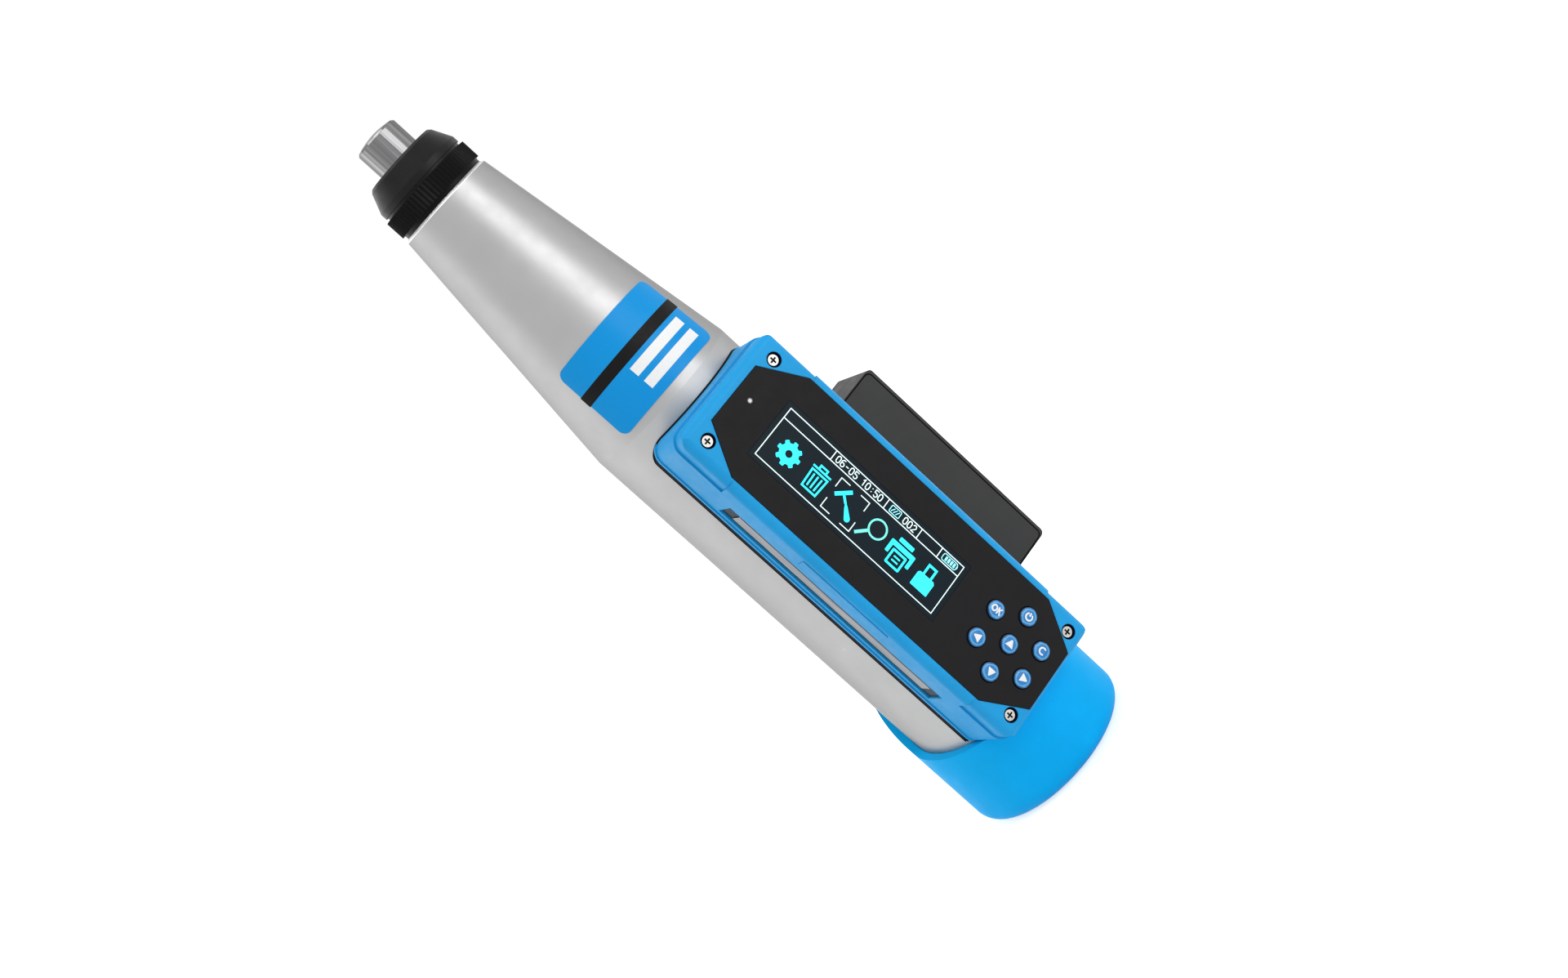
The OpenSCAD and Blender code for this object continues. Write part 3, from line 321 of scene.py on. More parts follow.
class Finish:
    """A material with one Principled shader, and short ways to add what drives it."""
    wave = 0.314  # bands of a wave texture repeat at this length when its scale is 1

    def __init__(self, name, **sockets):
        self.material = bpy.data.materials.new(name)
        self.material.use_nodes = True
        self.tree = self.material.node_tree
        self.shader = next(n for n in self.tree.nodes if n.type == "BSDF_PRINCIPLED")
        for socket, value in sockets.items():
            self.shader.inputs[socket.replace("_", " ")].default_value = value
        self.normal = None

    def node(self, kind, inputs=(), **settings):
        """A new node with its settings and socket values or links."""
        made = self.tree.nodes.new("ShaderNode" + kind)
        for key, value in settings.items():
            setattr(made, key, value)
        for key, value in dict(inputs).items():
            if isinstance(value, bpy.types.NodeSocket):
                self.tree.links.new(value, made.inputs[key])
            else:
                made.inputs[key].default_value = value
        return made

    def place(self, stretch=(1, 1, 1), turn=(0, 0, 0)):
        """Object coordinates, stretched and turned."""
        spot = self.node("TexCoord").outputs["Object"]
        return self.node("Mapping", {"Vector": spot, "Scale": stretch, "Rotation": turn}).outputs[0]

    def noise(self, grain, stretch=(1, 1, 1), detail=3.0, rough=0.55):
        """Cloud noise whose grain is given in millimetres."""
        return self.node("TexNoise", {"Vector": self.place(stretch), "Scale": 1 / (grain * MM),
                                      "Detail": detail, "Roughness": rough}).outputs["Fac"]

    def rings(self, pitch, wobble=0.6):
        """Turning marks: bands at a pitch in millimetres along Z."""
        return self.node("TexWave", {"Vector": self.place(), "Scale": self.wave / (pitch * MM),
                                     "Distortion": wobble, "Detail": 2.0, "Detail Scale": 1.5},
                         wave_type="BANDS", bands_direction="Z").outputs["Fac"]

    def cells(self, shades, joint, gap, wide, high, **settings):
        """Rows of cells in two shades with joints between them, sizes in millimetres, on a face across Y."""
        spot = self.place(turn=(math.pi / 2, 0, 0))
        return self.node("TexBrick", {"Vector": spot, "Color1": shades[0], "Color2": shades[1],
                                      "Mortar": joint, "Scale": 1 / MM, "Mortar Size": gap,
                                      "Brick Width": wide, "Row Height": high}, **settings)

    def off_axis(self, middle, radius):
        """Distance from an axis along Y through a place in millimetres, as a share of a radius."""
        spot = self.node("TexCoord").outputs["Object"]
        flat = self.node("VectorMath", {0: spot, 1: (1, 0, 1)}, operation="MULTIPLY").outputs["Vector"]
        centre = (middle[0] * MM, 0, middle[2] * MM)
        away = self.node("VectorMath", {0: flat, 1: centre}, operation="DISTANCE").outputs["Value"]
        return self.node("Math", {0: away, 1: radius * MM}, operation="DIVIDE").outputs[0]

    def spread(self, fac, socket, low, high, start=0.3, end=0.7):
        """Sets a socket to a range of values by a pattern."""
        out = self.node("MapRange", {"Value": fac, "From Min": start, "From Max": end, "To Min": low,
                                     "To Max": high})
        self.tree.links.new(out.outputs[0], self.shader.inputs[socket])

    def shades(self, fac, *stops):
        """Colours of the base by a pattern, as (place, colour) stops."""
        ramp = self.node("ValToRGB", {"Fac": fac})
        band = ramp.color_ramp.elements
        while len(band) < len(stops):
            band.new(0.5)
        for element, (place, shade) in zip(band, sorted(stops, key=lambda s: s[0])):
            element.position, element.color = place, shade
        self.tree.links.new(ramp.outputs["Color"], self.shader.inputs["Base Color"])

    def bump(self, fac, depth, strength=0.5):
        """Adds a relief of a depth in millimetres over what is there."""
        inputs = {"Height": fac, "Distance": depth * MM, "Strength": strength}
        if self.normal:
            inputs["Normal"] = self.normal
        self.normal = self.node("Bump", inputs).outputs["Normal"]
        self.tree.links.new(self.normal, self.shader.inputs["Normal"])

    def soft_edges(self, radius):
        """Rounds sharp edges in the shading by a radius in millimetres."""
        self.normal = self.node("Bevel", {"Radius": radius * MM}, samples=4).outputs[0]
        self.tree.links.new(self.normal, self.shader.inputs["Normal"])


def dim(shade, k):
    """A colour made lighter or darker."""
    return (*(min(1.0, c * k) for c in shade[:3]), 1.0)


def satin_silver(name, shade, rim, fade=(0.95, 0.75)):
    """Turned and bead-blasted light metal: fine rings, a soft grain and a slow change of gloss, with a
    painted glint: the base colour goes to white along the front rim, fading in between two distances below a
    height in millimetres."""
    f = Finish(name, Metallic=0.9, Specular_IOR_Level=0.5, Specular_Tint=(0.52, 0.52, 0.52, 1))
    # painted glint: below the rim's height the base colour is pushed towards white, standing in for a
    # reflection on the front chamfer
    height = f.node("SeparateXYZ", {0: f.node("TexCoord").outputs["Object"]}).outputs["Z"]
    bright = f.node("MapRange", {"Value": height, "From Min": (rim - fade[0]) * MM,
                                 "From Max": (rim - fade[1]) * MM})
    grain = f.node("Math", {0: f.noise(14, detail=4), 1: bright.outputs[0]}).outputs[0]
    f.shades(grain, (0.25, dim(shade, 0.96)), (0.75, dim(shade, 1.025)), (1.0, (1, 1, 1, 1)))
    f.spread(f.noise(6), "Roughness", 0.38, 0.46)
    f.soft_edges(0.2)
    f.bump(f.rings(0.22), 0.004, 0.25)
    f.bump(f.noise(0.16, detail=2), 0.01, 0.25)
    return f.material


def chrome_painted_streaks(name):
    """Hard chrome with painted reflections: bright and dark streaks along the axis painted into the base
    colour, with fine scuffs.
    """
    f = Finish(name, Metallic=1.0, Specular_Tint=(0.6, 0.6, 0.6, 1))
    # painted reflection: light and dark streaks of the surroundings laid into the base colour, stretched
    # along the axis
    f.shades(f.noise(1.6, (1, 1, 0.02), 3.0), (0.3, (0.06, 0.06, 0.063, 1)), (0.4, (0.17, 0.17, 0.174, 1)),
             (0.58, (0.24, 0.24, 0.244, 1)), (0.7, (0.36, 0.36, 0.36, 1)))
    f.spread(f.noise(0.5, (1, 1, 0.15)), "Roughness", 0.07, 0.15)
    f.soft_edges(0.12)
    f.bump(f.noise(0.2, (1, 1, 0.1)), 0.003, 0.2)
    return f.material


def ground_steel(name, shade, pitch=0.18):
    """Ground steel: close turning marks, an oily change of gloss and slight staining."""
    f = Finish(name, Metallic=1.0)
    f.shades(f.noise(5, detail=5), (0.3, dim(shade, 0.8)), (0.7, dim(shade, 1.08)))
    f.spread(f.noise(2.5), "Roughness", 0.2, 0.36)
    f.bump(f.rings(pitch), 0.005, 0.3)
    return f.material


def black_anodised(name, shade, shine=0.18):
    """Black anodised metal: turned rings, half-gloss, slightly worn to grey on its high grain."""
    f = Finish(name, Metallic=0.1, Specular_IOR_Level=shine)
    f.shades(f.noise(1.2, detail=6, rough=0.7), (0.35, dim(shade, 0.75)), (0.62, shade),
             (0.8, dim(shade, 1.9)))
    f.spread(f.noise(3), "Roughness", 0.34, 0.46)
    f.soft_edges(0.2)
    f.bump(f.rings(0.25), 0.004, 0.3)
    return f.material


def moulded(name, shade, gloss=(0.36, 0.5), grain=0.22, depth=0.012, edge=0.35, change=0.06, shine=0.16):
    """Moulded plastic: a fine spark-eroded grain, slow shade changes and rounded edges."""
    f = Finish(name, Specular_IOR_Level=shine)
    f.shades(f.noise(18, detail=4), (0.3, dim(shade, 1 - change)), (0.7, dim(shade, 1 + change)))
    f.spread(f.noise(4, detail=4), "Roughness", *gloss)
    f.soft_edges(edge)
    f.bump(f.noise(grain, detail=2), depth, 0.3)
    return f.material


def rubber(name, shade, dust):
    """Moulded rubber: matt, with a pebbled skin and a faint bloom of dust."""
    f = Finish(name, Specular_IOR_Level=0.09, Sheen_Weight=0.01, Sheen_Roughness=0.5)
    f.shades(f.noise(9, detail=6, rough=0.65), (0.3, dim(shade, 0.95)), (0.6, shade), (0.82, dust))
    f.spread(f.noise(5, detail=5), "Roughness", 0.46, 0.6)
    f.soft_edges(0.4)
    f.bump(f.noise(0.35, detail=3), 0.02, 0.3)
    return f.material


def film(name, shade):
    """Printed film: even colour with a faint print grain under a smooth skin."""
    f = Finish(name, Specular_IOR_Level=0.15)
    f.shades(f.noise(0.3, detail=3), (0.3, dim(shade, 0.95)), (0.7, dim(shade, 1.04)))
    f.spread(f.noise(7), "Roughness", 0.3, 0.4)
    f.bump(f.noise(3, detail=2), 0.01, 0.2)
    return f.material


def key_painted_rim_light(name, shade, middle, radius):
    """Tinted blue key plastic with painted light: deep in the middle, a paler ring near the rim that is a
    painted highlight, and a dark edge that is painted shade, under a glossy coat.
    """
    f = Finish(name, Specular_IOR_Level=0.3, Coat_Weight=0.15, Coat_Roughness=0.12)
    flow = f.node("Math", {0: f.noise(1.6, detail=3), 1: 0.3, 2: -0.15}, operation="MULTIPLY_ADD").outputs[0]
    away = f.node("Math", {0: f.off_axis(middle, radius), 1: flow}).outputs[0]
    # painted highlight: the pale ring at 0.77; painted shade: the dark edge from 0.87 outwards, where the key
    # meets its hole
    f.shades(away, (0.3, dim(shade, 0.8)), (0.62, dim(shade, 0.68)), (0.77, (0.11, 0.44, 0.78, 1)),
             (0.87, dim(shade, 0.75)), (0.95, dim(shade, 0.1)))
    f.spread(f.noise(1.2), "Roughness", 0.24, 0.34)
    f.soft_edges(0.3)
    return f.material


def dark_glass(name, shade):
    """Tinted display glass: nearly even, with faint rows of dots behind it."""
    f = Finish(name, Specular_IOR_Level=0.1)
    dots = f.cells((shade, dim(shade, 0.9)), dim(shade, 0.55), 0.03, DOT, DOT, offset=0.0)
    f.tree.links.new(dots.outputs["Color"], f.shader.inputs["Base Color"])
    f.spread(f.noise(12), "Roughness", 0.2, 0.28)
    return f.material


def lit_dots(name, shade, light):
    """Lit display dots: a square grid of bright cells with darker joints."""
    f = Finish(name, Specular_IOR_Level=0.2, Emission_Strength=light)
    dots = f.cells((shade, dim(shade, 0.94)), dim(shade, 0.72), 0.025, DOT, DOT, offset=0.0)
    f.tree.links.new(dots.outputs["Color"], f.shader.inputs["Base Color"])
    f.tree.links.new(dots.outputs["Color"], f.shader.inputs["Emission Color"])
    f.spread(f.noise(2), "Roughness", 0.5, 0.6)
    return f.material


def ink(name, shade, shine=0.4):
    """Screen-printed ink: even, with a slightly uneven film."""
    f = Finish(name, Specular_IOR_Level=shine)
    f.shades(f.noise(0.25, detail=3), (0.3, dim(shade, 0.93)), (0.7, dim(shade, 1.03)))
    f.spread(f.noise(1.5), "Roughness", 0.4, 0.52)
    return f.material


def brushed_strip(name):
    """Brushed light metal: streaks along the axis."""
    f = Finish(name, Metallic=0.85)
    f.shades(f.noise(0.5, (1, 1, 0.03), 3.0), (0.32, (0.15, 0.16, 0.178, 1)), (0.68, (0.3, 0.31, 0.328, 1)))
    f.spread(f.noise(0.8, (1, 1, 0.05)), "Roughness", 0.32, 0.46)
    f.soft_edges(0.15)
    return f.material


def pressed_felt(name):
    """Pressed wool felt: tangled light and dark fibres with a soft sheen."""
    f = Finish(name, Roughness=0.95, Sheen_Weight=0.4, Sheen_Roughness=0.5)
    f.shades(f.noise(0.3, (1, 1, 3), 6.0, 0.75), (0.25, (0.12, 0.11, 0.1, 1)), (0.75, (0.36, 0.34, 0.31, 1)))
    f.bump(f.noise(0.25, (1, 1, 3), 6.0, 0.8), 0.15, 0.6)
    return f.material


def circuit_board(name):
    """Circuit board: green lacquer with paler tracks between dark gaps."""
    f = Finish(name, Specular_IOR_Level=0.5, Coat_Weight=0.3, Coat_Roughness=0.2)
    tracks = f.cells(((0.01, 0.1, 0.04, 1), (0.02, 0.16, 0.06, 1)), (0.004, 0.05, 0.02, 1), 0.12, 5.2, 0.8)
    f.tree.links.new(tracks.outputs["Color"], f.shader.inputs["Base Color"])
    f.spread(f.noise(3), "Roughness", 0.3, 0.42)
    f.bump(tracks.outputs["Fac"], 0.02, 0.4)
    return f.material


def milky_lamp(name, middle, radius):
    """Milky lamp dome: cloudy white inside a dark rim."""
    f = Finish(name, Coat_Weight=0.2, Coat_Roughness=0.1)
    cloud = f.node("Math", {0: f.noise(0.4, detail=4), 1: 0.4, 2: -0.2}, operation="MULTIPLY_ADD").outputs[0]
    away = f.node("Math", {0: f.off_axis(middle, radius), 1: cloud}).outputs[0]
    f.shades(away, (0.2, (0.72, 0.74, 0.72, 1)), (0.6, (0.5, 0.53, 0.51, 1)),
             (0.74, (0.012, 0.012, 0.013, 1)))
    f.spread(f.noise(0.6), "Roughness", 0.25, 0.35)
    return f.material


def spring_wire(name):
    """Drawn spring wire: dark and light patches with a fine grain."""
    f = Finish(name, Metallic=1.0)
    f.shades(f.noise(1.5, detail=5), (0.3, (0.16, 0.15, 0.14, 1)), (0.7, (0.34, 0.33, 0.32, 1)))
    f.spread(f.noise(0.6), "Roughness", 0.24, 0.4)
    f.bump(f.noise(0.1, detail=2), 0.004, 0.3)
    return f.material


# Pieces, each group with its own operator


class HAMMER_OT_body(bpy.types.Operator):
    """Finish the tube with its cone, the rear cover and the rubber boot"""
    bl_idname = "hammer.body"
    bl_label = "Body and boot"

    def execute(self, context):
        rim = box_mm("lock_ring")[0][2]
        dress(satin_silver("satin_silver", colour("silver"), rim), "housing")
        dress(ground_steel("rear_cover_metal", (0.4, 0.4, 0.39, 1), 0.3), "rear_cover")
        blue = colour("boot_blue")
        dress(rubber("boot_rubber", blue, dim(blue, 1.12)), "rear_boot")
        return {"FINISHED"}


class HAMMER_OT_nose(bpy.types.Operator):
    """Finish the cap, the knurled ring and the plunger, and lay the felt washer in the cap"""
    bl_idname = "hammer.nose"
    bl_label = "Nose and plunger"

    def execute(self, context):
        dress(black_anodised("black_anodised", colour("nose_black")), "nose_cap")
        dress(black_anodised("black_knurl", dim(colour("nose_black"), 0.4), 0.1), "lock_ring")
        dress(chrome_painted_streaks("chrome_painted_streaks"), "plunger")
        steel = ground_steel("nose_steel", (0.5, 0.5, 0.49, 1))
        dress(steel, "two_part_ring", "guide_sleeve")
        low, high = box_mm("felt_washer")
        piece("felt_ring", [felt_ring(low, high)], pressed_felt("pressed_felt"), body_of("felt_washer"),
              ("felt_washer",))
        return {"FINISHED"}


def felt_ring(low, high, thick=2.3, slack=0.02, fill=0.96, swell=0.03, ripples=(7, 11), steps=120, sides=28):
    """A ring with a plump section: a superellipse |u/a|^n + |v/b|^n = 1 with n = 4, whose faces rise and
    fall by a few hundredths round the ring, carried round the axis."""
    turn = np.linspace(0, 2 * np.pi, steps, endpoint=False)[:, None]
    b = np.linspace(0, 2 * np.pi, sides, endpoint=False)[None, :]
    c, s = np.cos(b), np.sin(b)
    k = (np.abs(c) ** 4 + np.abs(s) ** 4) ** -0.25
    half, mid = thick / 2 - slack, (high[0] - low[0]) / 2 - thick / 2
    rise = (high[2] - low[2]) / 2 * (fill + swell * np.sin(ripples[0] * turn) * np.cos(ripples[1] * turn + 1))
    r = mid + half * k * c + 0 * turn
    z = (low[2] + high[2]) / 2 + rise * k * s
    return wall(np.stack([r * np.cos(turn), r * np.sin(turn), z], -1), True)


class HAMMER_OT_works(bpy.types.Operator):
    """Finish the striking works, the pawl, the lock button and the trip screw"""
    bl_idname = "hammer.works"
    bl_label = "Striking works"

    def execute(self, context):
        dress(ground_steel("mass_steel", (0.34, 0.34, 0.35, 1), 0.25), "hammer_mass", "guide_disk")
        dress(ground_steel("bar_steel", (0.55, 0.55, 0.55, 1), 0.12), "guide_bar", "rider_rail", "pawl_pin")
        dress(ground_steel("pawl_steel", (0.22, 0.21, 0.2, 1), 0.3), "pawl")
        dress(ground_steel("screw_steel", (0.5, 0.49, 0.46, 1), 0.4), "trip_screw", "trip_lock_nut",
              "lock_bush", "base_screws", "cover_screws")
        dress(ground_steel("button_steel", (0.55, 0.55, 0.55, 1), 0.2), "lock_button")
        return {"FINISHED"}


class HAMMER_OT_springs(bpy.types.Operator):
    """Wind the five springs in place of their plain solids"""
    bl_idname = "hammer.springs"
    bl_label = "Springs"

    def execute(self, context):
        wire = spring_wire("spring_wire")
        along_z = np.eye(3)
        along_x = np.array([[0, 0, 1], [0, 1, 0], [-1, 0, 0]], float)
        along_y = np.array([[1, 0, 0], [0, 0, 1], [0, -1, 0]], float)
        wound = (("impact_spring", 2.0, 22, along_z), ("return_spring", 0.9, 7, along_z),
                 ("retaining_spring", 0.9, 5, along_z), ("pawl_spring", 0.5, 2.5, along_x),
                 ("lock_spring", 0.5, 2.5, along_y))
        for node, thick, turns, lie in wound:
            body = body_of(node)
            if node == "return_spring":
                low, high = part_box(node)
                body = ("housing", "plunger", (0, 0, low[2]), (0, 0, high[2]))
            piece(node + "_wire", [coil(node, thick, turns, lie)], wire, body, (node,))
        return {"FINISHED"}


def coil(node, thick, turns, lie):
    """A round wire on a helix: its middle is (R cos a, R sin a, rise * t), where t goes from 0 to 1 and a
    from 0 to the whole turn, and the wire's circle lies across the path. Size and place come from the box of
    the solid, and lie turns the helix from Z to its own axis."""
    sizes = bpy.context.scene.hammer_sizes
    steps, sides = sizes.coil_steps, sizes.wire_sides
    low, high = box_mm(node)
    span = np.abs(lie.T @ (high - low))
    r, rise = (max(span[0], span[1]) - thick) / 2, span[2] - thick
    t = np.linspace(0, 1, int(turns * steps) + 1)[:, None]
    a = 2 * np.pi * turns * t
    b = np.linspace(0, 2 * np.pi, sides, endpoint=False)[None, :]
    out = np.stack([np.cos(a), np.sin(a), 0 * a], -1)
    climb = rise / (2 * np.pi * turns * r)
    across = np.stack([np.sin(a) * climb, -np.cos(a) * climb, 1 + 0 * a], -1) / math.hypot(1, climb)
    middle = r * out + np.stack([0 * a, 0 * a, rise * (t - 0.5)], -1)
    rows = middle + thick / 2 * (np.cos(b)[..., None] * out + np.sin(b)[..., None] * across)
    return wall(rows @ lie.T + (low + high) / 2)


class HAMMER_OT_label(bpy.types.Operator):
    """Finish the label on the cone and print its dark band and pale boxes"""
    bl_idname = "hammer.label"
    bl_label = "Label"

    def execute(self, context):
        dress(film("label_film", colour("label_blue")), "label")
        lift, step = size("print_lift"), size("box_gap")
        half_w, band_foot = 22.33, -0.1
        left, right, top, high = -5.4, 17.6, 1.5, 3.25
        piece("label_band", [on_cone(-half_w, half_w, band_foot - size("band_w"), band_foot, lift)],
              ink("band_ink", colour("band_black"), 0.14), "housing")
        piece("label_boxes", [on_cone(left, right, v, v + high, lift) for v in (top, top + step)],
              ink("box_ink", colour("sign_white")), "housing")
        return {"FINISHED"}


def on_cone(u0, u1, v0, v1, lift, mid=185.35, turned_by=-8.4, steps=64):
    """A patch of the flat label wrapped on the cone, u to the right and v down from the label's middle, whose
    height and turn about the axis are given. Laid flat, the cone is a fan about its tip: a place keeps its
    distance d from the tip, and its angle in the fan, divided by the sine k of the cone's half angle, is its
    turn about the axis."""
    r = TUBE_R - (mid - CONE_START) * CONE_SLOPE
    k = CONE_SLOPE / math.hypot(1, CONE_SLOPE)
    u = np.linspace(u0, u1, steps)[:, None]
    v = r / k + np.array([v0, v0, v1, v1])[None, :] + 0 * u
    d, a = np.hypot(u, v), np.arctan2(u, v) / k + math.radians(turned_by)
    z = mid + (r - d * k) / CONE_SLOPE
    out = d * k + FILM + np.array([-SUNK, lift, lift, -SUNK])[None, :]
    return wall(np.stack([out * np.sin(a), -out * np.cos(a), z], -1))


class HAMMER_OT_case(bpy.types.Operator):
    """Finish the display case, its strips, gasket, faceplate, screws and lamp, lay painted shade under its
    rib, in its grooves and in its screw hollows, and finish what lies inside
    """
    bl_idname = "hammer.case"
    bl_label = "Display case"

    def execute(self, context):
        dress(moulded("case_plastic", colour("case_blue")), "display_case")
        dress(moulded("plate_black", colour("plate_black"), gloss=(0.42, 0.55), grain=0.18, depth=0.008,
                      edge=0.15, change=0.08, shine=0.12), "faceplate")
        dress(brushed_strip("brushed_strip"), "side_strips")
        black = (0.012, 0.012, 0.013, 1)
        soft = rubber("gasket_rubber", black, dim(black, 2))
        dress(soft, "case_gasket", "keypad_mat")
        r = size("bead_r")
        piece("gasket_beads", [bead(side=-0.08, front=0.7 * r, r=r)], soft, "housing")
        # painted shade: a dark line on each side where the rib shades the foot of the case
        piece("foot_shadow_lines", foot_shadow_lines(), moulded("foot_painted_shade", (0.004, 0.01, 0.018, 1), shine=0.02),
              "housing")
        # painted shade: dark plates in the side grooves and along the strips' outer edges
        piece("groove_shadow_beds", groove_shadow_beds(), moulded("groove_painted_shade", (0.01, 0.03, 0.05, 1)),
              "housing")
        dress(ground_steel("case_screw_steel", (0.46, 0.45, 0.43, 1), 0.3), "case_screws")
        # painted shade: dark cups round the screw heads and dark crosses in their slots
        wells, crosses = screw_hollows()
        piece("screw_well_shadows", wells, moulded("well_painted_shade", (0.003, 0.012, 0.04, 1)),
              "housing")
        piece("screw_cross_shadows", crosses, moulded("cross_painted_shade", (0.008, 0.007, 0.006, 1)),
              "housing")
        low, high = box_mm("status_led")
        dress(milky_lamp("milky_lamp", (low + high) / 2, (high[0] - low[0]) / 2), "status_led")
        dress(moulded("inner_plastic", (0.05, 0.05, 0.052, 1)), "case_base", "oled_module", "rider")
        dress(circuit_board("circuit_board"), "main_board", "sensor_board")
        dress(film("battery_wrap", (0.09, 0.1, 0.13, 1)), "battery")
        return {"FINISHED"}


def foot_shadow_lines(drop=24.15, width=1.2, sink=0.05, lift=0.035):
    """A dark line of painted shade on the foot of the case below its rib, where the rib shades it, on each
    side: a thin oblong section carried along the side and into the front corner as far as the tube, a set
    distance below the faceplate's front."""
    low, high = box_mm("case_gasket")
    y = box_mm("faceplate")[0][1] + drop

    def edge(grow, up, side):
        bend = arc(CASE_CORNER - high[0], high[2] - CASE_CORNER, CASE_CORNER + grow, 180, 145, 10)
        q = np.concatenate([[(-high[0] - grow, low[2] + FOOT_START)], bend])
        return np.stack([-side * q[:, 0], np.full(len(q), y + up), q[:, 1]], 1)

    section = ((-sink, 0), (lift, 0), (lift, width), (-sink, width))
    return [wall(np.stack([edge(grow, up, side) for grow, up in section], 1)) for side in (-1, 1)]


def bead(side, front, r, sides=12):
    """A round bead on the tube round the foot of the case: up one side, round two corners across the front
    and down the other side, on the case's outline grown by a margin at the sides and one at the front, and
    laid on the cylinder x^2 + y^2 = R^2."""
    low, high = box_mm("case_gasket")
    half, start, end, corner = high[0] + side, low[2] + FOOT_START, high[2] + front, CASE_CORNER + front
    sweep = arc(corner - half, end - corner, corner, 180, 90, 14)
    x = np.linspace(corner - half, half - corner, 26)[1:-1]
    across = np.stack([x, np.full(len(x), end)], 1)
    right = np.concatenate([sweep[::-1] * (-1, 1), [(half, start)]])
    path = np.concatenate([[(-half, start)], sweep, across, right])
    p = np.stack([path[:, 0], -np.sqrt(TUBE_R ** 2 - path[:, 0] ** 2), path[:, 1]], 1)
    ahead = np.gradient(p, axis=0)
    ahead /= np.linalg.norm(ahead, axis=1, keepdims=True)
    out = p * (1, 1, 0) / TUBE_R
    b = np.linspace(0, 2 * np.pi, sides, endpoint=False)[None, :, None]
    return wall(p[:, None] + r * (np.cos(b) * out[:, None] + np.sin(b) * np.cross(ahead, out)[:, None]))


def groove_shadow_beds(ends=3.9, front=0.7, back=2.0, deep=0.495, thick=0.035, edge=(0.01, 0.65), clear=(0.1, 0.7)):
    """Two thin dark plates of painted shade on each side: a bed on the floor of the groove, under the strip
    and out to the groove's walls, where the groove lies in shade, and a line on the strip's face along its
    outer edge, where the groove's edge shades it, clear of the strip's ends."""
    low, high = box_mm("side_strips")
    bed = oblong(low[1] - front, low[2] - ends, high[1] + back, high[2] + ends)
    strip_edge_shadow = oblong(low[1] + edge[0], low[2] + clear[0], low[1] + edge[1], high[2] - clear[1])

    def on_side(side, x):
        return lambda p, lift: np.stack([np.full(len(p), side * (x + lift)), p[:, 0], p[:, 1]], 1)

    return [plate(on_side(side, x), outline, 0, thick) for side in (-1, 1)
            for outline, x in ((bed, high[0] - deep), (strip_edge_shadow, high[0] - SUNK))]


def screw_hollows(head=1.65, well=2.34, deep=1.49, proud=0.6, skin=0.06, floor=0.04, slot=1.08, half=0.26):
    """Painted shade in the hollows that a screw sits in: a dark cup round each head, and a dark cross on the
    floor of its slots. Places come from the box of the screws, whose heads are its outer corners."""
    low, high = box_mm("case_screws")
    inner, hole, slot_floor = well - skin, head + SUNK, (-0.69, -0.6)
    arm = np.array([(half, half), (slot, half), (slot, -half)])
    cross = np.concatenate([turned(arm, -90 * k) for k in range(4)])
    wells, crosses = [], []
    for x in (low[0] + head, high[0] - head):
        for z in (low[2] + head, high[2] - head):
            def place(points, lift, x=x, z=z):
                p = np.asarray(points, float)
                return np.stack([x + p[:, 0], np.full(len(p), low[1] - lift), z + p[:, 1]], 1)

            cup = ((well, -deep), (well, proud), (inner, proud), (inner, floor - deep), (hole, floor - deep),
                   (hole, -deep))
            wells.append(wall(np.stack([place(arc(0, 0, r), lift) for r, lift in cup], 1), True))
            crosses.append(plate(place, cross, *slot_floor))
    return wells, crosses


class HAMMER_OT_sensor_box(bpy.types.Operator):
    """Finish the sensor box and its saddle, and paint a line of shade along the edges of its front face"""
    bl_idname = "hammer.sensor_box"
    bl_label = "Sensor box"

    def execute(self, context):
        dress(moulded("box_plastic", colour("box_grey"), gloss=(0.4, 0.54), grain=0.3, depth=0.015, edge=0.3,
                      change=0.08), "sensor_cover", "sensor_base")
        # painted shade: a dark line just inside the edges of the box's front face, where its rounding turns
        # away
        piece("box_line", [box_line()], ink("box_edge_painted_shade", (0.002, 0.002, 0.002, 1), 0.02), "housing")
        return {"FINISHED"}


def box_line(inset=0.5, edge=3.6, r=1.8, width=0.42, lift=0.012):
    """A fine dark line of painted shade on the front face of the sensor box, just inside its edges, where its
    rounding turns away into shade: across one end, round a corner, along the outer edge, round the other
    corner and back across the other end."""
    low, high = box_mm("sensor_cover")
    start, x, z0, z1 = low[0] + inset, high[0] - edge, low[2] + inset, high[2] - inset
    path = np.concatenate([[(start, z1)], arc(x - r, z1 - r, r, 90, 0, 8), arc(x - r, z0 + r, r, 0, -90, 8),
                           [(start, z0)]])

    def place(p, up):
        return np.stack([p[:, 0], np.full(len(p), low[1] - up), p[:, 1]], 1)

    return line(place, path, width, -SUNK, lift)


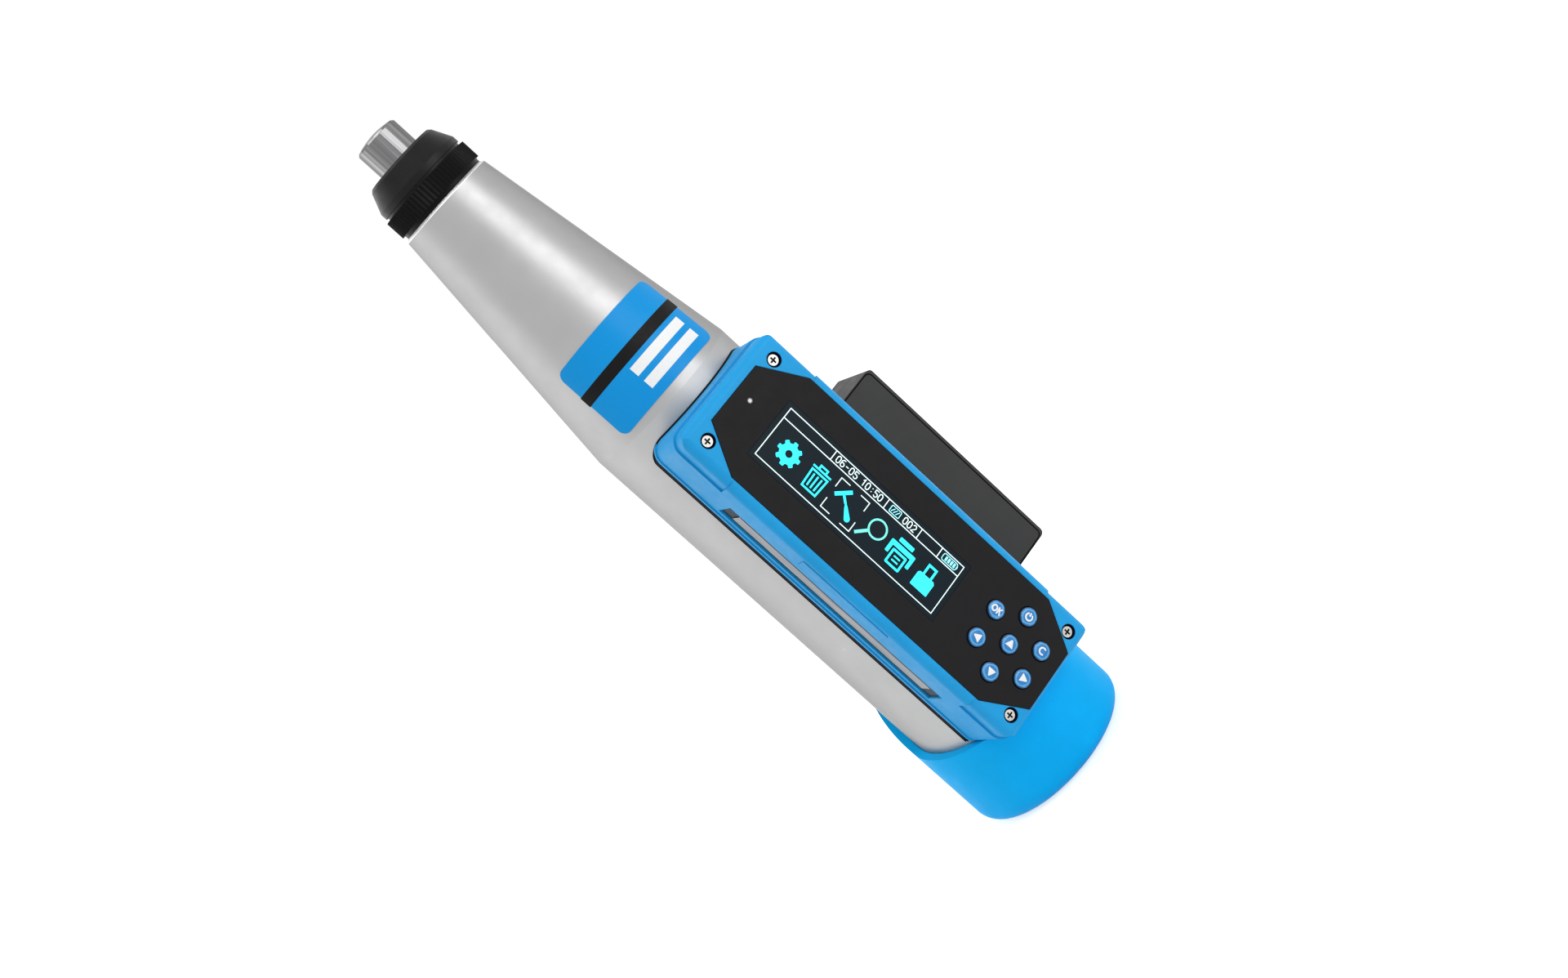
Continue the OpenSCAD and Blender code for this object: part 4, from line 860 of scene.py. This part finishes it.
class HAMMER_OT_screen(bpy.types.Operator):
    """Finish the display's glass and light its frame, status bar, figures and menu signs"""
    bl_idname = "hammer.screen"
    bl_label = "Display"

    def execute(self, context):
        dress(dark_glass("dark_glass", colour("glass")), "display_lens")
        low, high = box_mm("display_lens")
        w, h, top = size("frame_w"), size("frame_h"), size("print_lift")
        middle = (low + high) / 2

        def place(points, lift):
            """From the frame's lower left corner: right is -Z, up is +X, and the lift goes out along -Y."""
            p = np.asarray(points, float)
            x, z = middle[0] + p[:, 1] - h / 2, middle[2] - p[:, 0] + w / 2
            return np.stack([x, np.full(len(p), low[1] - lift), z], 1)

        def lines(width, *paths):
            return [line(place, path, width, -SUNK, top, joined) for path, joined in paths]

        def plates(*outlines):
            return [plate(place, outline, -SUNK, top) for outline in outlines]

        def show(name, shapes, finish):
            piece(name, shapes, finish, "housing")

        white = lit_dots("lit_white", colour("lit_white"), 0.75)
        thin, bar = size("line_w"), h - 3.5
        fields = (18.2, 39.3, 52.6, 60.9)
        show("screen_frame", lines(thin, loop(oblong(0, 0, w, h)), run((0, bar), (w, bar)),
                                   *(run((x, bar), (x, h)) for x in fields)), white)
        show("screen_brackets", lines(thin, run((24.2, 9.1), (24.2, 12.4), (27.6, 12.4)),
                                      run((31.8, 12.4), (35.3, 12.4), (35.3, 9.3)),
                                      run((24.2, 4.9), (24.2, 1.6), (27.7, 1.6)),
                                      run((31.7, 1.6), (35.3, 1.6), (35.3, 5.0))), white)

        row, digit, figure_w = bar + 0.75, size("digit_h"), 0.3
        texts = (("06-05", 19.6, 1.72), ("10:50", 29.6, 1.66), ("002", 46.4, 1.72))
        show("screen_figures", lines(figure_w, *(stroke for text, x, step in texts
                                                 for stroke in figures(text, x, row, digit, step))), white)

        foot, head, outline_w, charge_w = row - 0.1, row + digit, 0.27, 0.72
        cell = (loop(oblong(62.3, foot, 67.8, head, 0.6)), run((68.0, row + 0.6), (68.0, row + 1.4)))
        charge = (run((x, row + 0.3), (x, head - 0.4)) for x in (63.7, 64.75, 65.8, 66.85))
        mark = (loop(oblong(41.1, foot, 44.8, head, 0.35)),
                *(run((x, row + 0.35), (x + 0.8, head - 0.45)) for x in (41.65, 42.55, 43.45)))
        show("screen_status", lines(outline_w, *cell, *mark) + lines(charge_w, *charge),
             lit_dots("lit_pale", colour("lit_pale"), 0.8))

        cyan = lit_dots("lit_cyan", colour("lit_cyan"), 0.8)
        x, y, points = 7.7, 6.8, 160
        cog, hole = gear(x, y, 3.15, 4.05, 8, points), arc(x, y, 1.15, count=points)
        show("screen_gear", [hoop(place, cog, hole, -SUNK, top)], cyan)

        x = 18.6
        bin_lines = lines(0.6, loop([(x - 2.9, 8.5), (x - 2.55, 2.6), (x + 2.55, 2.6), (x + 2.9, 8.5)]),
                          run((15.2, 9.6), (22.0, 9.6)),
                          run((17.3, 9.8), (17.3, 10.9), (19.9, 10.9), (19.9, 9.8)))
        bin_bars = lines(0.55, *(run((b, 3.5), (b + 0.12 * (b - x), 7.7)) for b in (17.3, x, 19.9)))
        show("screen_bin", bin_lines + bin_bars, cyan)

        grip = np.concatenate([[(29.1, 8.0), (30.2, 5.9)], arc(32.7, 4.0, 0.95, -150, 60, 14), [(30.9, 6.8)]])
        head_and_neck = lines(1.2, run((25.3, 7.3), (29.4, 11.3))) + lines(0.8, run((27.5, 9.2), (29.7, 7.2)))
        show("screen_hammer", plates(grip) + head_and_neck, cyan)

        rim, handle = lines(0.6, loop(arc(41.9, 8.1, 2.9))), lines(0.95, run((39.6, 5.8), (36.7, 2.7)))
        show("screen_lens", rim + handle, lit_dots("lit_green", (0.16, 0.76, 0.62, 1), 0.8))

        cover, body = oblong(48.9, 10.0, 54.3, 11.4, 0.3), oblong(47.0, 7.9, 56.2, 9.4, 0.4)
        sides = oblong(47.0, 5.0, 48.2, 8.2, 0.2), oblong(55.0, 5.0, 56.2, 8.2, 0.2)
        page = lines(0.7, loop(oblong(49.2, 2.6, 54.0, 7.0, 0.1)))
        text = lines(0.5, *(run((50.4, y), (52.8, y)) for y in (5.5, 4.2)))
        show("screen_printer", plates(cover, body, *sides) + page + text, cyan)

        stick = [(59.0, 2.6), (65.4, 2.6), (65.4, 7.0), (64.8, 7.6), (59.6, 7.6), (59.0, 7.0)]
        plug = lines(0.75, run((60.8, 7.6), (60.8, 10.8), (63.6, 10.8), (63.6, 7.6)))
        show("screen_stick", plates(stick) + plug, cyan)
        return {"FINISHED"}


class HAMMER_OT_keys(bpy.types.Operator):
    """Finish the seven keys and print their signs on the domes"""
    bl_idname = "hammer.keys"
    bl_label = "Keys"

    def execute(self, context):
        white = ink("sign_ink", colour("sign_white"))
        s, r, top, sunk, stroke_w = size("sign_w"), size("dome_r"), size("print_lift"), 0.03, 0.5
        arrow = np.array([(-0.5, -0.32), (0.5, -0.32), (0.06, 0.5), (-0.06, 0.5)]) * s
        arrows = {"up": arrow, "down": turned(arrow, 180), "left": turned(arrow, 90),
                  "right": turned(arrow, -90)}
        drawn = {"ok": [loop(arc(-0.95, 0, 0.76, count=32) * (1, 1.2)), run((0.4, -1.15), (0.4, 1.15)),
                        run((1.55, 1.1), (0.5, -0.05)), run((0.75, 0.2), (1.6, -1.1))],
                 "clear": [run(*arc(0.1, 0, 1.05, 48, 312, 32))],
                 "power": [run(*arc(0, -0.1, 1.1, 120, 420, 36)), run((0, 0.1), (0, 1.3))]}
        for name in (*arrows, *drawn):
            low, high = box_mm("key_" + name)
            middle = (low + high) / 2
            dress(key_painted_rim_light("key_painted_rim_light_" + name, colour("key_blue"), middle, size("key_r")), "key_" + name)

            def place(points, lift):
                """Reading axes on the key's dome, whose face falls by R - sqrt(R^2 - d^2) from its middle."""
                p = np.asarray(points, float)
                fall = r - np.sqrt(r * r - (p ** 2).sum(1))
                return np.stack([middle[0] + p[:, 1], low[1] + fall - lift, middle[2] - p[:, 0]], 1)

            if name in arrows:
                edge = finer(arrows[name], True)
                steps = ((0.02, -sunk), (1, -sunk), (1, top), (0.5, top), (0.02, top))
                shapes = [wall(np.stack([place(edge * share, lift) for share, lift in steps]))]
            else:
                shapes = [line(place, finer(path, joined), stroke_w, -sunk, top, joined)
                          for path, joined in drawn[name]]
            piece("key_sign_" + name, shapes, white, body_of("key_" + name))
        return {"FINISHED"}


class HAMMER_OT_stage(bpy.types.Operator):
    """Set the pale floor, the soft lamps, the white surround and the camera"""
    bl_idname = "hammer.stage"
    bl_label = "Stage"

    def execute(self, context):
        scene = context.scene
        half, drop = 6.0, 0.0003  # in metres
        corners = [(x * half, y * half, -drop) for x, y in ((-1, -1), (1, -1), (1, 1), (-1, 1))]
        mesh = bpy.data.meshes.new("floor")
        mesh.from_pydata(corners, [], [(0, 1, 2, 3)])
        floor = bpy.data.objects.new("floor", mesh)
        scene.collection.objects.link(floor)
        mesh.materials.append(pale_floor())
        white_world(scene)
        lamp("key_strip", 27, 4, 1.15, (0.76, 1.3), 7.0)
        lamp("fill_left", -138, 15, 1.3, (2.2, 1.4), 6.2)
        lamp("top_soft", -30, 86, 1.2, (0.9, 0.9), 5.0)
        shot = bpy.data.cameras.new("shot")
        shot.sensor_fit, shot.sensor_width, shot.lens = "HORIZONTAL", 36.0, 44.603
        shot.clip_start, shot.clip_end = 0.01, 50
        camera = bpy.data.objects.new("shot", shot)
        right = (0.57717137, -0.37306171, -0.72642836)
        up = (0.73840307, -0.14149077, 0.65934912)
        back = (-0.34876082, -0.91695437, 0.19380549)
        eye = (-0.20306, -0.54599, 0.23685)
        axes = Matrix((right, up, back)).transposed()
        camera.matrix_world = Matrix.Translation(eye) @ axes.to_4x4()
        scene.collection.objects.link(camera)
        scene.camera = camera
        scene.view_settings.view_transform = "Standard"
        return {"FINISHED"}


def seen_directly(tree):
    """1 for camera, mirror and see-through rays, 0 for the rest."""
    path = tree.nodes.new("ShaderNodeLightPath")
    out = path.outputs["Is Camera Ray"]
    for other in ("Is Glossy Ray", "Is Transmission Ray"):
        both = tree.nodes.new("ShaderNodeMath")
        both.operation = "MAXIMUM"
        tree.links.new(out, both.inputs[0])
        tree.links.new(path.outputs[other], both.inputs[1])
        out = both.outputs[0]
    return out


def pale_floor(glow=0.62):
    """Pale matt floor that takes the shadow, lifted to white for rays that look at it."""
    f = Finish("pale_floor", Roughness=0.9, Specular_IOR_Level=0.1)
    f.shades(f.noise(60, detail=3), (0.3, (0.82, 0.82, 0.82, 1)), (0.7, (0.86, 0.86, 0.86, 1)))
    f.shader.inputs["Emission Color"].default_value = (1, 1, 1, 1)
    lift = f.node("Math", {0: seen_directly(f.tree), 1: glow}, operation="MULTIPLY")
    f.tree.links.new(lift.outputs[0], f.shader.inputs["Emission Strength"])
    return f.material


def white_world(scene, light=0.66, seen=1.0):
    """White surround: full white where it is seen, a plain level where it lights."""
    world = bpy.data.worlds.new("surround")
    world.use_nodes = True
    tree = world.node_tree
    back = next(n for n in tree.nodes if n.type == "BACKGROUND")
    back.inputs["Color"].default_value = (1, 1, 1, 1)
    level = tree.nodes.new("ShaderNodeMapRange")
    tree.links.new(seen_directly(tree), level.inputs["Value"])
    level.inputs["To Min"].default_value = light
    level.inputs["To Max"].default_value = seen
    tree.links.new(level.outputs[0], back.inputs["Strength"])
    scene.world = world


def lamp(name, round_z, up, far, spread, power, looks_at=(0, -0.01, 0.15)):
    """A soft lamp: degrees from -Y to +X, degrees up, metres away, its width and height, its watts and the
    place that it looks at."""
    data = bpy.data.lights.new(name, "AREA")
    data.shape, data.size, data.size_y, data.energy = "RECTANGLE", spread[0], spread[1], power
    a, e = math.radians(round_z), math.radians(up)
    aim = Vector(looks_at)
    place = aim + far * Vector((math.sin(a) * math.cos(e), -math.cos(a) * math.cos(e), math.sin(e)))
    obj = bpy.data.objects.new(name, data)
    obj.matrix_world = Matrix.Translation(place) @ (place - aim).to_track_quat("Z", "Y").to_matrix().to_4x4()
    bpy.context.scene.collection.objects.link(obj)


class HAMMER_PT_panel(bpy.types.Panel):
    """Lists the hammer's steps, colours and sizes"""
    bl_idname = "HAMMER_PT_panel"
    bl_label = "Rebound hammer"
    bl_space_type = "VIEW_3D"
    bl_region_type = "UI"
    bl_category = "Hammer"

    def draw(self, context):
        for step in STEPS:
            self.layout.operator(step.bl_idname)
        for group in (context.scene.hammer_colours, context.scene.hammer_sizes):
            for name in group.__annotations__:
                self.layout.prop(group, name)


STEPS = (HAMMER_OT_body, HAMMER_OT_nose, HAMMER_OT_works, HAMMER_OT_springs, HAMMER_OT_label, HAMMER_OT_case,
         HAMMER_OT_sensor_box, HAMMER_OT_screen, HAMMER_OT_keys, HAMMER_OT_stage)
CLASSES = (HammerColours, HammerSizes, *STEPS, HAMMER_PT_panel)


def register():
    for cls in CLASSES:
        bpy.utils.register_class(cls)
    bpy.types.Scene.hammer_colours = PointerProperty(type=HammerColours)
    bpy.types.Scene.hammer_sizes = PointerProperty(type=HammerSizes)


def unregister():
    del bpy.types.Scene.hammer_sizes
    del bpy.types.Scene.hammer_colours
    for cls in reversed(CLASSES):
        bpy.utils.unregister_class(cls)


def main():
    """Registers the add-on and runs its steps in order."""
    register()
    for step in STEPS:
        group, name = step.bl_idname.split(".")
        getattr(getattr(bpy.ops, group), name)()


if __name__ == "__main__":
    main()
